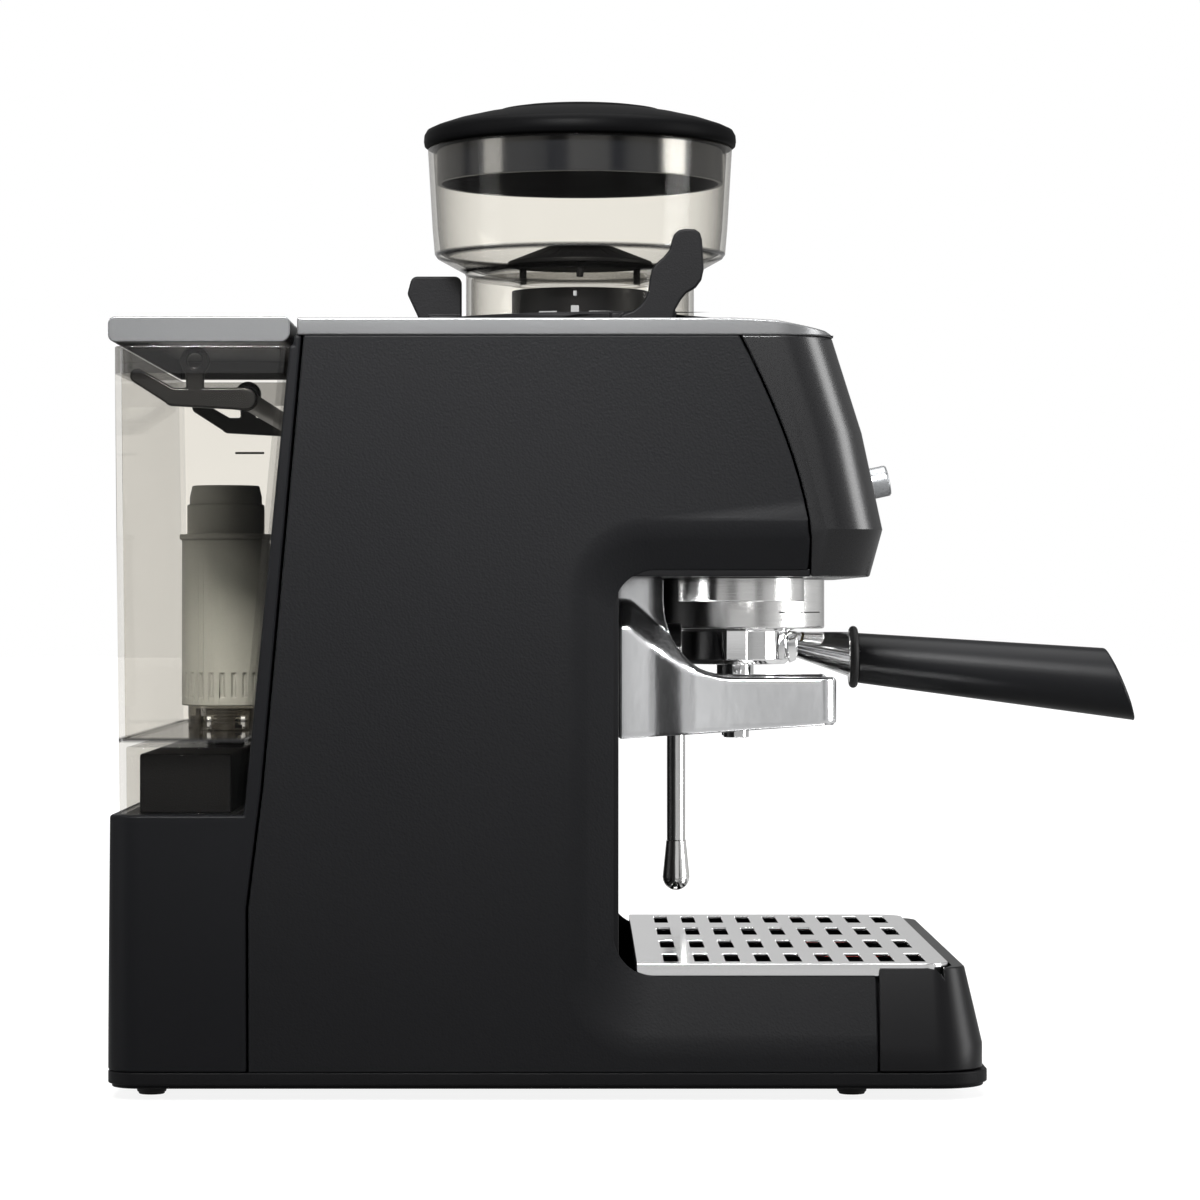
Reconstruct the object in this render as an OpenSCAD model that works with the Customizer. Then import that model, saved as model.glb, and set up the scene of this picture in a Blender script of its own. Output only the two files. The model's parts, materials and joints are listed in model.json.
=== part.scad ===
// Espresso machine with a built-in conical burr grinder.
// +X is the front, +Z is up, the user's left is -Y, and the origin is under the middle of the whole
// object, handle included, on the surface that it stands on. All sizes are in millimetres.

/* [Casing] */
// Rear face of the rear housing
rear_x = -216.5; // [-218:0.5:-215]
// Front edge of the base plate
base_front_x = 138; // [137:0.5:140]
// Half the width of the casing
half_w = 145; // [145:0.5:146]
// Height of the rubber feet
foot_h = 5; // [4:0.5:6]
// Top of the base plate
base_top = 11.5; // [11.5:0.1:11.6]
// Underside of the head, above the cup space
head_floor_z = 210; // [210:0.1:210.2]
// Underside of the silver top plate
head_top_z = 306.5; // [306.5:0.1:306.6]
// Top of the silver top plate
plate_top_z = 313.5; // [313:0.1:314]
// Wall of the plastic panels
panel_wall = 3; // [2.5:0.1:3.2]
// How far the bevel round the cup space runs inwards
bevel_in = 7; // [6:0.5:7]

/* [Cup space] */
// Inner edge of the cup space at its back
bay_x = -10.5; // [-10.5:0.1:-10.3]
// Width of the bevel round the cup space
bevel_w = 17; // [15:0.5:18]
// Inner edge of the cup space at its foot
bay_floor_z = 54; // [53.8:0.1:54]

/* [Water tank] */
// Shelf that the tank stands on
shelf_z = 114.5; // [114.5:0.1:114.6]
// Top rim of the tank
tank_top_z = 302.4; // [302.2:0.1:302.4]
// Wall of the tank
tank_wall = 2.5; // [2:0.1:2.5]
// Centre of the filter and valve
filter_x = -180; // [-181:0.5:-179]

/* [Grinder] */
// Axis of the hopper and burrs, from the front to the back
hopper_x = -26.5; // [-26.5:0.1:-26.3]
// Axis of the hopper and burrs, across the machine
hopper_y = -45; // [-45:0.1:-44.8]
// Outer radius of the hopper bowl under its lid
bowl_r = 64.3; // [63:0.1:64.3]
// Outer radius of the hopper neck
neck_r = 48.2; // [47:0.1:48.3]
// Outer radius of the hopper lid
hopper_lid_r = 66; // [65.5:0.1:66.5]
// Top of the hopper lid
hopper_lid_top = 409.6; // [408:0.1:410]
// Teeth on the burr gear
gear_teeth = 48; // [48:1:48]
// Teeth on the motor pinion
pinion_teeth = 12; // [12:1:12]
// Size of the gear teeth, as pitch diameter over teeth
gear_module = 1.25; // [1.25:0.05:1.25]

/* [Brewing] */
// Axis of the brewing group, from the front to the back
group_x = 41.5; // [41.4:0.1:41.8]
// Axis of the brewing group, across the machine
group_y = 20; // [19:0.5:21]
// Outer radius of the steel group ring
group_r = 39; // [38:0.1:39]
// Lower edge of the group ring
group_z = 188.3; // [188.2:0.1:188.4]
// Outer radius of the portafilter bowl
bowl_out_r = 23.7; // [23.6:0.1:23.8]
// Far end of the portafilter handle
handle_end_x = 216.5; // [216:0.5:218]

/* [Grinder outlet and cradle] */
// Axis of the outlet, from the front to the back
outlet_x = 40.5; // [40:0.1:41]
// Axis of the outlet, across the machine
outlet_y = -77; // [-77.5:0.1:-76.5]
// Outer radius of the outlet collar
outlet_r = 26.2; // [26:0.1:26.4]
// Width of the cradle
cradle_w = 90; // [88:1:92]

/* [Drip tray] */
// Top face of the grate
grate_z = 54.5; // [54.4:0.1:54.6]
// Columns of slots
slot_cols = 9; // [7:1:9]
// Rows of slots
slot_rows = 4; // [3:1:4]
// Length of a slot
slot_len = 41; // [36:1:46]
// Width of a slot
slot_w = 6; // [5:0.5:7]

/* [Steam wand] */
// Axis of the wand, from the front to the back
wand_x = 17.5; // [17:0.5:18]
// Axis of the wand, across the machine
wand_y = 105; // [104:0.5:106]
// Radius of the steam tube
wand_r = 4.25; // [4:0.05:4.5]

/* [Hidden] */
$fn = 64;

body_black = [0.09, 0.09, 0.10];
satin_black = [0.12, 0.12, 0.13];
charcoal = [0.18, 0.18, 0.20];
silver = [0.62, 0.63, 0.64];
steel = [0.72, 0.72, 0.72];
chrome = [0.85, 0.85, 0.86];
smoke = [0.78, 0.72, 0.62, 0.45];
filter_grey = [0.62, 0.62, 0.58];

eps = 0.01;

// ---- shared shapes ----------------------------------------------------------------------------

// Draws a 2D side outline, X across and Z up, as a slab between two values of Y.
module slab(y0, y1) {
    translate([0, y1, 0]) rotate([90, 0, 0]) linear_extrude(y1 - y0) children();
}

// A rectangle from one corner to the other.
module rect(x0, x1, y0, y1) {
    translate([x0, y0]) square([x1 - x0, y1 - y0]);
}

// A box from one corner to the other.
module block(x0, x1, y0, y1, z0, z1) {
    translate([x0, y0, z0]) cube([x1 - x0, y1 - y0, z1 - z0]);
}

// A rectangle with rounded corners.
module round_rect(x0, x1, y0, y1, r) {
    offset(r = r) rect(x0 + r, x1 - r, y0 + r, y1 - r);
}

// Seen from above: a casing outline with its rear corners square and its front corners rounded.
module nose_plan(x0, x1, w, r) {
    intersection() {
        round_rect(x0 - 2 * r, x1, -w, w, r);
        rect(x0, x1 + 1, -w - 1, w + 1);
    }
}

module tube(r_out, r_in, z0, z1) {
    translate([0, 0, z0]) difference() {
        cylinder(r = r_out, h = z1 - z0);
        translate([0, 0, -1]) cylinder(r = r_in, h = z1 - z0 + 2);
    }
}

module disc(r, z0, z1) {
    translate([0, 0, z0]) cylinder(r = r, h = z1 - z0);
}

module at_hopper() { translate([hopper_x, hopper_y, 0]) children(); }
module at_group() { translate([group_x, group_y, 0]) children(); }
module at_outlet() { translate([outlet_x, outlet_y, 0]) children(); }
module at_filter() { translate([filter_x, 0, 0]) children(); }
module at_wand() { translate([wand_x, wand_y, 0]) children(); }

// ---- casing -----------------------------------------------------------------------------------

seam_low_x = 65.8;
seam_run = 28.3;
seam_bend_z = 225;
seam_gap = 0.4;
tray_seam_x = 93;
bay_r = 15;
bay_outer_r = 27;
bay_outer_floor = 22;
bay_outer_top = head_floor_z + 18.6;
rim_y = half_w - bevel_in;

// Seam between a side panel and the front fascia at height z.
function seam_x(z) =
    seam_low_x - seam_run * pow(max(0, (z - seam_bend_z) / (head_top_z - seam_bend_z)), 1.5);

// Seam between the rear housing and a side panel, from the foot up.
rear_seam = [[-159.4, base_top], [-159.6, 77], [-153.6, 125], [-137.4, head_top_z]];

seam_steps = 10;
front_seam = [for (i = [0:seam_steps])
    let (z = head_top_z - i * (head_top_z - seam_bend_z) / seam_steps) [seam_x(z), z]];

module side_outline() {
    polygon(concat(
        [for (p = rear_seam) [p.x + seam_gap, p.y]],
        [for (p = front_seam) [p.x - seam_gap, p.y]],
        [[seam_low_x - seam_gap, bay_floor_z + 60], [tray_seam_x - seam_gap, bay_floor_z + 60],
         [tray_seam_x - seam_gap, base_top]]));
}

// The cup space as a cutter: wide at the outer face and narrower at the inner one.
module bay_cutter() {
    far_x = 200;
    hull() {
        for (corner = [[bay_x - bevel_w, bay_outer_floor, -1, 1], [bay_x - bevel_w, bay_outer_top, -1, -1]])
            translate([corner.x + bay_outer_r, -half_w, corner.y + corner[3] * bay_outer_r])
                rotate([90, 0, 0]) cylinder(r = bay_outer_r, h = 0.5, $fn = 96);
        for (z = [bay_floor_z + bay_r, head_floor_z - bay_r])
            translate([bay_x + bay_r, -rim_y + 1, z])
                rotate([90, 0, 0]) cylinder(r = bay_r, h = 1, $fn = 96);
        block(far_x, far_x + 1, -half_w - 0.5, -half_w, bay_outer_floor, bay_outer_top);
        block(far_x, far_x + 1, -rim_y, -rim_y + 1, bay_floor_z, head_floor_z);
    }
}

module side_panel_shape() {
    difference() {
        slab(-half_w, -rim_y) side_outline();
        bay_cutter();
        slab(-half_w + panel_wall, -rim_y + 1) difference() {
            offset(delta = -panel_wall) side_outline();
            round_rect(bay_x - bevel_w - panel_wall, 200, bay_outer_floor - panel_wall,
                bay_outer_top + panel_wall, bay_outer_r);
        }
    }
}

module left_side_panel() { color(body_black) side_panel_shape(); }
module right_side_panel() { color(body_black) mirror([0, 1, 0]) side_panel_shape(); }

base_corner_r = 14;
nose_r = 21;
tray_top_r = 14;
foot_xs = [-200.6, 84];
foot_y = 115;
foot_r = 6;
screw_xs = [-150, -50, 50];
screw_y = 120;
screw_r = 3.5;
screw_seat = 2.5;

module base_plan(inset) {
    offset(delta = -inset) union() {
        round_rect(rear_x, 0, -half_w, half_w, base_corner_r);
        nose_plan(-50, base_front_x, half_w, nose_r);
    }
}

module base_plate() {
    chamfer = 1.5;
    color(body_black) difference() {
        union() {
            translate([0, 0, foot_h]) linear_extrude(chamfer) base_plan(chamfer);
            translate([0, 0, foot_h + chamfer]) linear_extrude(base_top - foot_h - chamfer) base_plan(0);
        }
        for (x = screw_xs, s = [-1, 1]) translate([x, s * screw_y, 0])
            disc(screw_r + 0.3, foot_h - 1, foot_h + screw_seat);
    }
}

module rubber_feet() {
    color([0.05, 0.05, 0.05]) for (x = foot_xs, s = [-1, 1]) translate([x, s * foot_y, 0])
        union() {
            disc(foot_r - 0.7, 0, 1);
            disc(foot_r, 1, foot_h);
        }
}

module base_screws() {
    color(steel) for (x = screw_xs, s = [-1, 1]) translate([x, s * screw_y, foot_h + 0.5])
        difference() {
            cylinder(r = screw_r, h = screw_seat - 0.5);
            for (a = [0, 90]) rotate([0, 0, a]) translate([-2, -0.4, -1]) cube([4, 0.8, 2]);
        }
}

bulkhead_foot = [-160.6, 118.5];
bulkhead_head = [-142.6, head_top_z];
rear_lean = 2.6;
// Step in the bulkhead that leaves room for the front edge of the tank lid.
hinge_room = [-141, 302.5];

module rear_housing() {
    shelf_fillet = 0.6;
    color(charcoal) difference() {
        intersection() {
            slab(-half_w, half_w) polygon(concat(
                [[rear_x, base_top]],
                [for (p = rear_seam) [p.x - seam_gap, p.y]],
                [[hinge_room.x, head_top_z], hinge_room, [bulkhead_head.x, hinge_room.y], bulkhead_foot,
                 [bulkhead_foot.x - shelf_fillet, shelf_z],
                 [rear_x + rear_lean / 2, shelf_z]]));
            linear_extrude(head_top_z + 1) round_rect(rear_x, 0, -half_w, half_w, base_corner_r);
        }
        translate([0, 0, base_top + panel_wall]) linear_extrude(shelf_z - base_top - 2 * panel_wall)
            intersection() {
                round_rect(rear_x + panel_wall, 0, -half_w + 4, half_w - 4, base_corner_r - panel_wall);
                rect(rear_x, -150, -half_w, half_w);
            }
        translate([-150, 60, 150]) rotate([0, -90, 0]) cylinder(r = 5, h = 30);
        translate([rear_x - 1, -90, 40]) rotate([0, 90, 0]) cylinder(r = inlet_r + 0.1, h = 10);
    }
}

inlet_r = 9;

module cord_inlet() {
    color(body_black) translate([rear_x, -90, 40]) rotate([0, 90, 0]) difference() {
        union() {
            cylinder(r = inlet_r, h = 9);
            translate([0, 0, panel_wall]) cylinder(r = inlet_r + 2.5, h = 3);
        }
        translate([0, 0, -1]) cylinder(r = 4, h = 12);
    }
}

// Front face of the head, as X at height z: two flat stretches that meet half-way up.
nose_low = [96, 229];
nose_mid = [87.6, 268];
nose_high = [75.4, head_top_z - eps];
nose_foot_x = 91.2;
fascia_r = 24;
fascia_tilt = atan((nose_low.x - nose_mid.x) / (nose_mid.y - nose_low.y));

function face_x(z) = nose_low.x - (z - nose_low.y) * tan(fascia_tilt);

module fascia_solid(inset) {
    hull() for (s = [[head_floor_z + inset, nose_foot_x, rim_y], [nose_low.y, nose_low.x, half_w],
                     [nose_mid.y, nose_mid.x, half_w], [nose_high.y, nose_high.x, half_w]])
        translate([0, 0, s[0]]) linear_extrude(eps)
            nose_plan(20, s[1] - inset, s[2] - inset, fascia_r - inset);
}

// A feature on the front face: its own +Z runs straight out of the fascia.
module on_face(y) {
    translate([face_x(control_z), y, control_z]) rotate([0, 90 - fascia_tilt, 0]) children();
}

control_z = 248.5;
dial_y = -60;
button_ys = [-100, 60, 85, 110];
button_r = 7.7;

module front_fascia() {
    color(satin_black) difference() {
        fascia_solid(0);
        fascia_solid(panel_wall);
        slab(-half_w - 1, half_w + 1) polygon(concat(
            [[0, head_floor_z - 1], [0, head_top_z + 1], [front_seam[0].x + seam_gap, head_top_z + 1]],
            [for (p = front_seam) [p.x + seam_gap, p.y]],
            [[seam_low_x + seam_gap, head_floor_z - 1]]));
        at_group() disc(head_neck_r + 0.2, head_floor_z - 1, head_floor_z + 10);
        on_face(dial_y) cylinder(r = 3.06, h = 20, center = true);
        for (y = button_ys) on_face(y) cylinder(r = button_r + 0.3, h = 20, center = true);
    }
}

column_x = -14;

module column_panel() {
    color(satin_black) difference() {
        block(column_x, bay_x - 0.5, -rim_y + 0.2, rim_y - 0.2, base_top, head_floor_z);
        translate([column_x - 1, outlet_y, switch_z]) rotate([0, 90, 0]) cylinder(r = switch_r + 0.3, h = 6);
    }
}

floor_t = 3;

module head_floor() {
    color(satin_black) difference() {
        block(column_x, seam_low_x, -rim_y + 0.2, rim_y - 0.2, head_floor_z, head_floor_z + floor_t);
        at_group() disc(head_neck_r + 0.2, head_floor_z - 1, head_floor_z + floor_t + 1);
        at_outlet() disc(21, head_floor_z - 1, head_floor_z + floor_t + 1);
        at_wand() disc(4.6, head_floor_z - 1, head_floor_z + floor_t + 1);
    }
}

plate_rear_x = -139.6;
collar_r = 54;

module top_plate() {
    bend_x = 34;
    lip_x = 76;
    color(silver) difference() {
        intersection() {
            slab(-half_w, half_w) polygon([
                [plate_rear_x, head_top_z], [plate_rear_x, plate_top_z], [bend_x, plate_top_z],
                [bend_x + 18, plate_top_z - 0.9], [lip_x - 4, plate_top_z - 4.6],
                [lip_x, head_top_z + 0.6], [lip_x - 0.4, head_top_z]]);
            linear_extrude(plate_top_z + 1) nose_plan(plate_rear_x, lip_x, half_w, fascia_r);
        }
        at_hopper() disc(collar_r + 0.05, head_top_z - 1, plate_top_z + 1);
    }
}

module inner_chassis() {
    t = 2;
    upright_x = -132;
    side = 130;
    color([0.6, 0.62, 0.6]) difference() {
        union() {
            block(upright_x - t, -20, -side, side, base_top, base_top + t);
            block(upright_x - t, upright_x, -side, side, base_top, 300);
        }
        for (z = [150, 60]) translate([upright_x - 5, 60, z]) rotate([0, 90, 0]) cylinder(r = 9, h = 10);
    }
}

// ---- water tank -------------------------------------------------------------------------------

plinth_top = 138.6;
tank_foot_z = shelf_z + 0.5;
tank_floor_z = 144.5;
valve_seat_z = 133.5;
tank_slack = 1;

// Rear and front faces of the tank at height z, parallel to the slanted bulkhead at the front.
function tank_rear(z) = -211 - 2.4 * (z - tank_foot_z) / (tank_top_z - tank_foot_z);
function tank_front(z) = bulkhead_foot.x - tank_slack
    + (bulkhead_head.x - bulkhead_foot.x) * (z - bulkhead_foot.y) / (bulkhead_head.y - bulkhead_foot.y);

module tank_shape(inset, z0, z1, r) {
    w = half_w - 2 - inset;
    intersection() {
        slab(-w, w) polygon([[tank_rear(z0) + inset, z0], [tank_rear(z1) + inset, z1],
            [tank_front(z1) - inset, z1], [tank_front(z0) - inset, z0]]);
        translate([0, 0, z0 - 1]) linear_extrude(z1 - z0 + 2)
            round_rect(tank_rear(z1) + inset, -60, -w, w, r);
    }
}

module tank_plinth() {
    color(body_black) union() {
        difference() {
            block(-204, -167, -130, 130, shelf_z, plinth_top);
            at_filter() disc(16.5, valve_seat_z - 1, plinth_top + 1);
            at_filter() disc(8, shelf_z + 4, plinth_top);
        }
        // Pin that lifts the valve when the tank stands on its plinth.
        at_filter() disc(3, shelf_z + 4 - eps, 131.4);
    }
}

hinge = [-147.6, 308.85];
ear_y = 100;
ear_t = 5;
hinge_r = 1.5;

module tank_ears() {
    for (s = [-1, 1]) slab(s * ear_y - ear_t / 2, s * ear_y + ear_t / 2) difference() {
        union() {
            translate(hinge) circle(r = 3.2);
            rect(hinge.x - 1.9, hinge.x + 2.1, tank_top_z - 6, hinge.y);
        }
        translate(hinge) circle(r = hinge_r + 0.06);
    }
}

pivot = [-181, 296.5];
pivot_r = 3;
pivot_y = half_w - 2 - tank_wall;

module water_tank() {
    color(smoke) difference() {
        union() {
            difference() {
                tank_shape(0, tank_foot_z, tank_top_z, 8);
                tank_shape(tank_wall, tank_floor_z, tank_top_z + 1, 6);
                tank_shape(tank_wall, tank_foot_z - 1, tank_floor_z - 3, 6);
            }
            tank_ears();
            for (s = [-1, 1]) slab(s > 0 ? pivot_y - 6 : -pivot_y - eps, s > 0 ? pivot_y + eps : -pivot_y + 6)
                translate(pivot) circle(r = pivot_r);
        }
        at_filter() disc(8.05, tank_floor_z - 5, tank_floor_z + 1);
    }
}

module valve_body() {
    color(body_black) at_filter() difference() {
        union() {
            disc(13.4, valve_seat_z, tank_floor_z - 3);
            disc(8, tank_floor_z - 3 - eps, tank_floor_z);
        }
        disc(5, valve_seat_z - 1, tank_floor_z + 1);
    }
}

poppet_head = tank_floor_z + 2.2;
holder_top = 155.2;

module valve_poppet() {
    color(steel) at_filter() union() {
        disc(4.9, 131.8, tank_floor_z + 0.3);
        disc(7, tank_floor_z + 0.3 - eps, poppet_head);
    }
}

module valve_spring() {
    coils = 4;
    wire = 0.4;
    pitch = (holder_top - 1.5 - poppet_head - 2 * wire - 0.2) / coils;
    color(steel) at_filter() for (i = [0:coils])
        translate([0, 0, poppet_head + 0.1 + wire + i * pitch])
            rotate_extrude() translate([5, 0]) circle(r = wire, $fn = 16);
}

module filter_holder() {
    color([0.25, 0.23, 0.2]) at_filter() difference() {
        disc(16.3, tank_floor_z, holder_top);
        disc(13, tank_floor_z - 1, holder_top - 1.5);
        for (a = [0:60:359]) rotate([0, 0, a]) translate([10, -3, tank_floor_z + 1]) cube([10, 6, 5]);
    }
}

filter_flange_z = 226.8;

module filter_body() {
    ribs = 24;
    color(filter_grey) at_filter() difference() {
        union() {
            disc(19, holder_top, filter_flange_z + eps);
            disc(20, filter_flange_z, filter_flange_z + 2.4);
            disc(16.7, filter_flange_z + 2.3, 242);
            rotate_extrude() polygon([[0, 241.9], [15.6, 241.9], [15.6, 245.2], [14.5, 250.2], [0, 250.2]]);
        }
        disc(14, holder_top + 3, filter_flange_z);
        for (a = [0:360 / ribs:359]) rotate([0, 0, a]) translate([18.2, -0.8, holder_top + 4])
            cube([4, 1.6, 10]);
    }
}

grip = [-160.8, 281.3];
grip_r = 4.5;
arm_t = 4.5;

// One arm of the carry handle: pivot boss, forearm to the grip and curved tail to the rear.
module handle_arm() {
    tail_end = [-204, 290.5];
    elbow = [-190, 282];
    difference() {
        union() {
            translate(pivot) circle(r = 6);
            hull() {
                translate(pivot) circle(r = 4);
                translate([pivot.x, grip.y]) circle(r = 3.2);
            }
            hull() {
                translate(elbow) circle(r = 3.6);
                translate(grip) circle(r = grip_r);
            }
            hull() {
                translate(elbow) circle(r = 3.4);
                translate(tail_end) circle(r = 3);
            }
        }
        translate(pivot) circle(r = pivot_r + 0.06);
    }
}

module tank_handle() {
    arm_y = half_w - 2 - tank_wall - 1;
    color(body_black) union() {
        for (s = [-1, 1]) slab(s > 0 ? arm_y - arm_t : -arm_y, s > 0 ? arm_y : -arm_y + arm_t) handle_arm();
        slab(-arm_y + 1, arm_y - 1) translate(grip) circle(r = grip_r - 0.6);
    }
}

lid_bottom = 303.7;
lid_top = 314;
lid_rear_x = -215.2;
lid_front_x = -142.4;

module tank_lid() {
    skin = 1.8;
    notch = ear_t / 2 + 1;
    color(silver) difference() {
        slab(-half_w, half_w) union() {
            round_rect(lid_rear_x, lid_front_x, lid_bottom + 1.5, lid_top, 3);
            hull() {
                translate([lid_rear_x + 3, lid_bottom + 3]) circle(r = 3);
                translate([lid_front_x - 4, lid_bottom + 4]) circle(r = 4);
            }
        }
        block(lid_rear_x + 2.4, hinge.x - 4.5, -half_w + 2.4, half_w - 2.4, lid_bottom - 1, lid_top - skin);
        for (s = [-1, 1]) {
            block(hinge.x - 6, lid_front_x + 1, s * ear_y - notch, s * ear_y + notch, lid_bottom - 1, lid_top - skin);
            slab(s * ear_y - 8.05, s * ear_y + 8.05) translate(hinge) circle(r = hinge_r);
        }
    }
}

module lid_hinge_pins() {
    color(steel) for (s = [-1, 1]) slab(s * ear_y - 8, s * ear_y + 8) translate(hinge) circle(r = hinge_r);
}

// ---- grinder ----------------------------------------------------------------------------------

bowl_wall = 2.2;
bowl_top = 391;
cone_top = 345.8;
neck_top = 338.2;
neck_foot = 301;
bowl_low_r = 61.4;

module hopper_bowl() {
    funnel_r = 25.5;
    funnel_z = 333;
    color(smoke) at_hopper() union() {
        rotate_extrude() polygon([
            [neck_r - bowl_wall, neck_foot], [neck_r, neck_foot], [neck_r, neck_top], [bowl_low_r, cone_top],
            [bowl_r, bowl_top], [bowl_r - bowl_wall, bowl_top], [bowl_low_r - bowl_wall, cone_top + 1],
            [neck_r - bowl_wall, neck_top + 1], [funnel_r, funnel_z + 1.6], [funnel_r, funnel_z],
            [neck_r - bowl_wall, neck_top - 2]]);
        for (a = [60, 180, 300]) rotate([0, 0, a])
            translate([neck_r - eps, -4, neck_foot + 2]) cube([1.4, 8, 3]);
    }
}

module bean_guard() {
    legs = 3;
    color(body_black) at_hopper() union() {
        rotate_extrude() polygon([[0, 341.5], [30.5, 341.5], [30.5, 343.5], [14, 350], [0, 350]]);
        for (i = [0:legs - 1]) rotate([0, 0, 30 + i * 360 / legs]) translate([28, 0, 0]) disc(1.5, 335.2, 342);
    }
}

module hopper_lid() {
    skirt_r = bowl_r - bowl_wall - 1.7;
    lid_foot = bowl_top + 0.3;
    rim_high = 397;
    dome_drop = hopper_lid_top - rim_high;
    steps = 12;
    // The top is a shallow dome: part of a circle that meets the rim and the crown.
    dome_r = (hopper_lid_r * hopper_lid_r + dome_drop * dome_drop) / (2 * dome_drop);
    dome = [for (i = [0:steps]) let (r = hopper_lid_r * (1 - i / steps))
        [r, hopper_lid_top - dome_r + sqrt(dome_r * dome_r - r * r)]];
    color(body_black) at_hopper() union() {
        rotate_extrude() polygon(concat([[0, lid_foot + 2], [skirt_r - 2, lid_foot + 2],
            [skirt_r - 2, 376.3], [skirt_r, 376.3], [skirt_r, lid_foot], [hopper_lid_r, lid_foot]], dome));
        disc(2, hopper_lid_top - 1, hopper_lid_top + 0.4);
    }
}

module grinder_collar() {
    color(body_black) at_hopper() difference() {
        disc(collar_r, 262, plate_top_z);
        disc(neck_r + 2, 267, plate_top_z + 1);
        disc(41, 261, 268);
    }
}

ring_z = [plate_top_z + 0.4, 318];
ring_r = [neck_r + 0.6, 64];
paddle_y = hopper_y - 66;
paddle_t = 5;

module grind_ring() {
    tab_x = hopper_x - 60.5;
    color(body_black) union() {
        at_hopper() tube(ring_r[1], ring_r[0], ring_z[0], ring_z[1]);
        // Tall paddle on the near side, with a foot that joins it to the ring.
        slab(paddle_y - paddle_t / 2, paddle_y + paddle_t / 2) offset(r = 1.5, $fn = 24) offset(delta = -1.5)
            polygon([
                [-14, ring_z[0]], [-8.7, 317.1], [-4.8, 318.4], [-1.9, 320.5], [0.1, 323.2], [1.3, 326.8],
                [1.9, 331.5], [2.6, 334.9], [4.4, 337.6], [7.6, 340.4], [9.9, 343.2], [10.8, 346.7],
                [11.6, 349.3], [13.6, 351.2], [16.5, 351.8], [20.4, 351.6], [22.4, 350.2], [23.2, 347.4],
                [23.5, 343.6], [23.9, 335.2], [23, 331], [20.7, 327.9], [16.8, 325.6], [14.6, 322.9],
                [12.4, 319], [11, ring_z[0]]]);
        block(-14, 13, paddle_y, hopper_y - 50, ring_z[0], ring_z[1] - eps);
        // Short tab at the rear, standing on an arm of the ring.
        block(tab_x - 3, tab_x + 9, hopper_y - 10, hopper_y + 10, ring_z[0], ring_z[1] + 2.5);
        slab(hopper_y - 2.5, hopper_y + 2.5) offset(r = 3, $fn = 24) offset(delta = -3)
            polygon([[-92, ring_z[0]], [-99.5, 330], [-97.5, 337.4], [-76.5, 337.4], [-76.5, ring_z[0]]]);
    }
}

carrier_z = [263.2, 331];
burr_r = 25;

module burr_carrier() {
    color(charcoal) at_hopper() difference() {
        union() {
            disc(28.8, carrier_z[0], carrier_z[1]);
            disc(39.5, carrier_z[0], carrier_z[0] + 5);
        }
        disc(burr_r, carrier_z[0] - 1, carrier_z[0] + 20);
        disc(burr_r - 1, carrier_z[0] + 19, carrier_z[1] + 1);
    }
}

module ring_burr() {
    cuts = 24;
    color(steel) at_hopper() difference() {
        disc(burr_r, carrier_z[0], carrier_z[0] + 20);
        translate([0, 0, carrier_z[0] - eps]) cylinder(r1 = 17.5, r2 = 16, h = 20 + 2 * eps);
        for (a = [0:360 / cuts:359]) rotate([0, 0, a])
            translate([14, -0.6, carrier_z[0] + 6]) cube([7.5, 1.2, 15]);
    }
}

shaft_r = 4;

module cone_burr() {
    cuts = 16;
    foot = 256;
    tall = 30;
    wide_r = 19.4;
    narrow_r = 9;
    color(steel) at_hopper() difference() {
        translate([0, 0, foot]) cylinder(r1 = wide_r, r2 = narrow_r, h = tall);
        disc(shaft_r, foot - 1, foot + tall + 1);
        for (a = [0:360 / cuts:359]) rotate([0, 0, a]) translate([wide_r, 0, foot])
            rotate([0, -atan((wide_r - narrow_r) / tall), 0])
                translate([-1.3, -0.7, -2]) cube([4, 1.4, tall + 6]);
    }
}

module burr_shaft() {
    color(steel) at_hopper() union() {
        disc(shaft_r, 223, 288);
        disc(8, 287, 291);
    }
}

module dose_impeller() {
    blades = 6;
    color([0.85, 0.85, 0.8]) at_hopper() difference() {
        union() {
            disc(34, 249, 251);
            for (i = [0:blades - 1]) rotate([0, 0, i * 360 / blades])
                translate([20, -1, 250]) cube([13, 2, 4.5]);
        }
        disc(shaft_r, 248, 252);
    }
}

pinion_x = hopper_x - gear_module * (gear_teeth + pinion_teeth) / 2 - 0.1;
gear_z = [230, 238];

// A spur gear with straight-sided teeth; turn moves the first tooth by part of a tooth.
module spur_gear(teeth, turn, z0, z1, bore) {
    pitch_r = gear_module * teeth / 2;
    root_r = pitch_r - 1.2 * gear_module;
    tip_r = pitch_r + 0.85 * gear_module;
    half_tooth = 360 / teeth / 4;
    translate([0, 0, z0]) linear_extrude(z1 - z0) difference() {
        polygon([for (i = [0:teeth - 1], k = [[-1.6, root_r], [-0.45, tip_r], [0.45, tip_r], [1.6, root_r]])
            let (a = (i + turn) * 360 / teeth + k[0] * half_tooth) k[1] * [cos(a), sin(a)]]);
        circle(r = bore);
    }
}

module burr_gear() {
    color(steel) at_hopper() spur_gear(gear_teeth, 0.5, gear_z[0], gear_z[1], shaft_r);
}

module grinder_housing() {
    color(charcoal) difference() {
        union() {
            at_hopper() disc(46, 244, 262);
            hull() {
                at_hopper() translate([30, -22, 0]) disc(14, 244, 262);
                at_outlet() disc(15, 244, 262);
            }
            at_outlet() disc(18, head_floor_z + floor_t, 250);
        }
        at_hopper() disc(36, 248, 263);
        at_hopper() disc(shaft_r + 0.06, 243, 249);
        hull() {
            at_hopper() translate([24, -18, 0]) disc(8, 248, 258);
            at_outlet() disc(10, 248, 258);
        }
        at_outlet() disc(15, head_floor_z, 250);
    }
}

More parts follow.
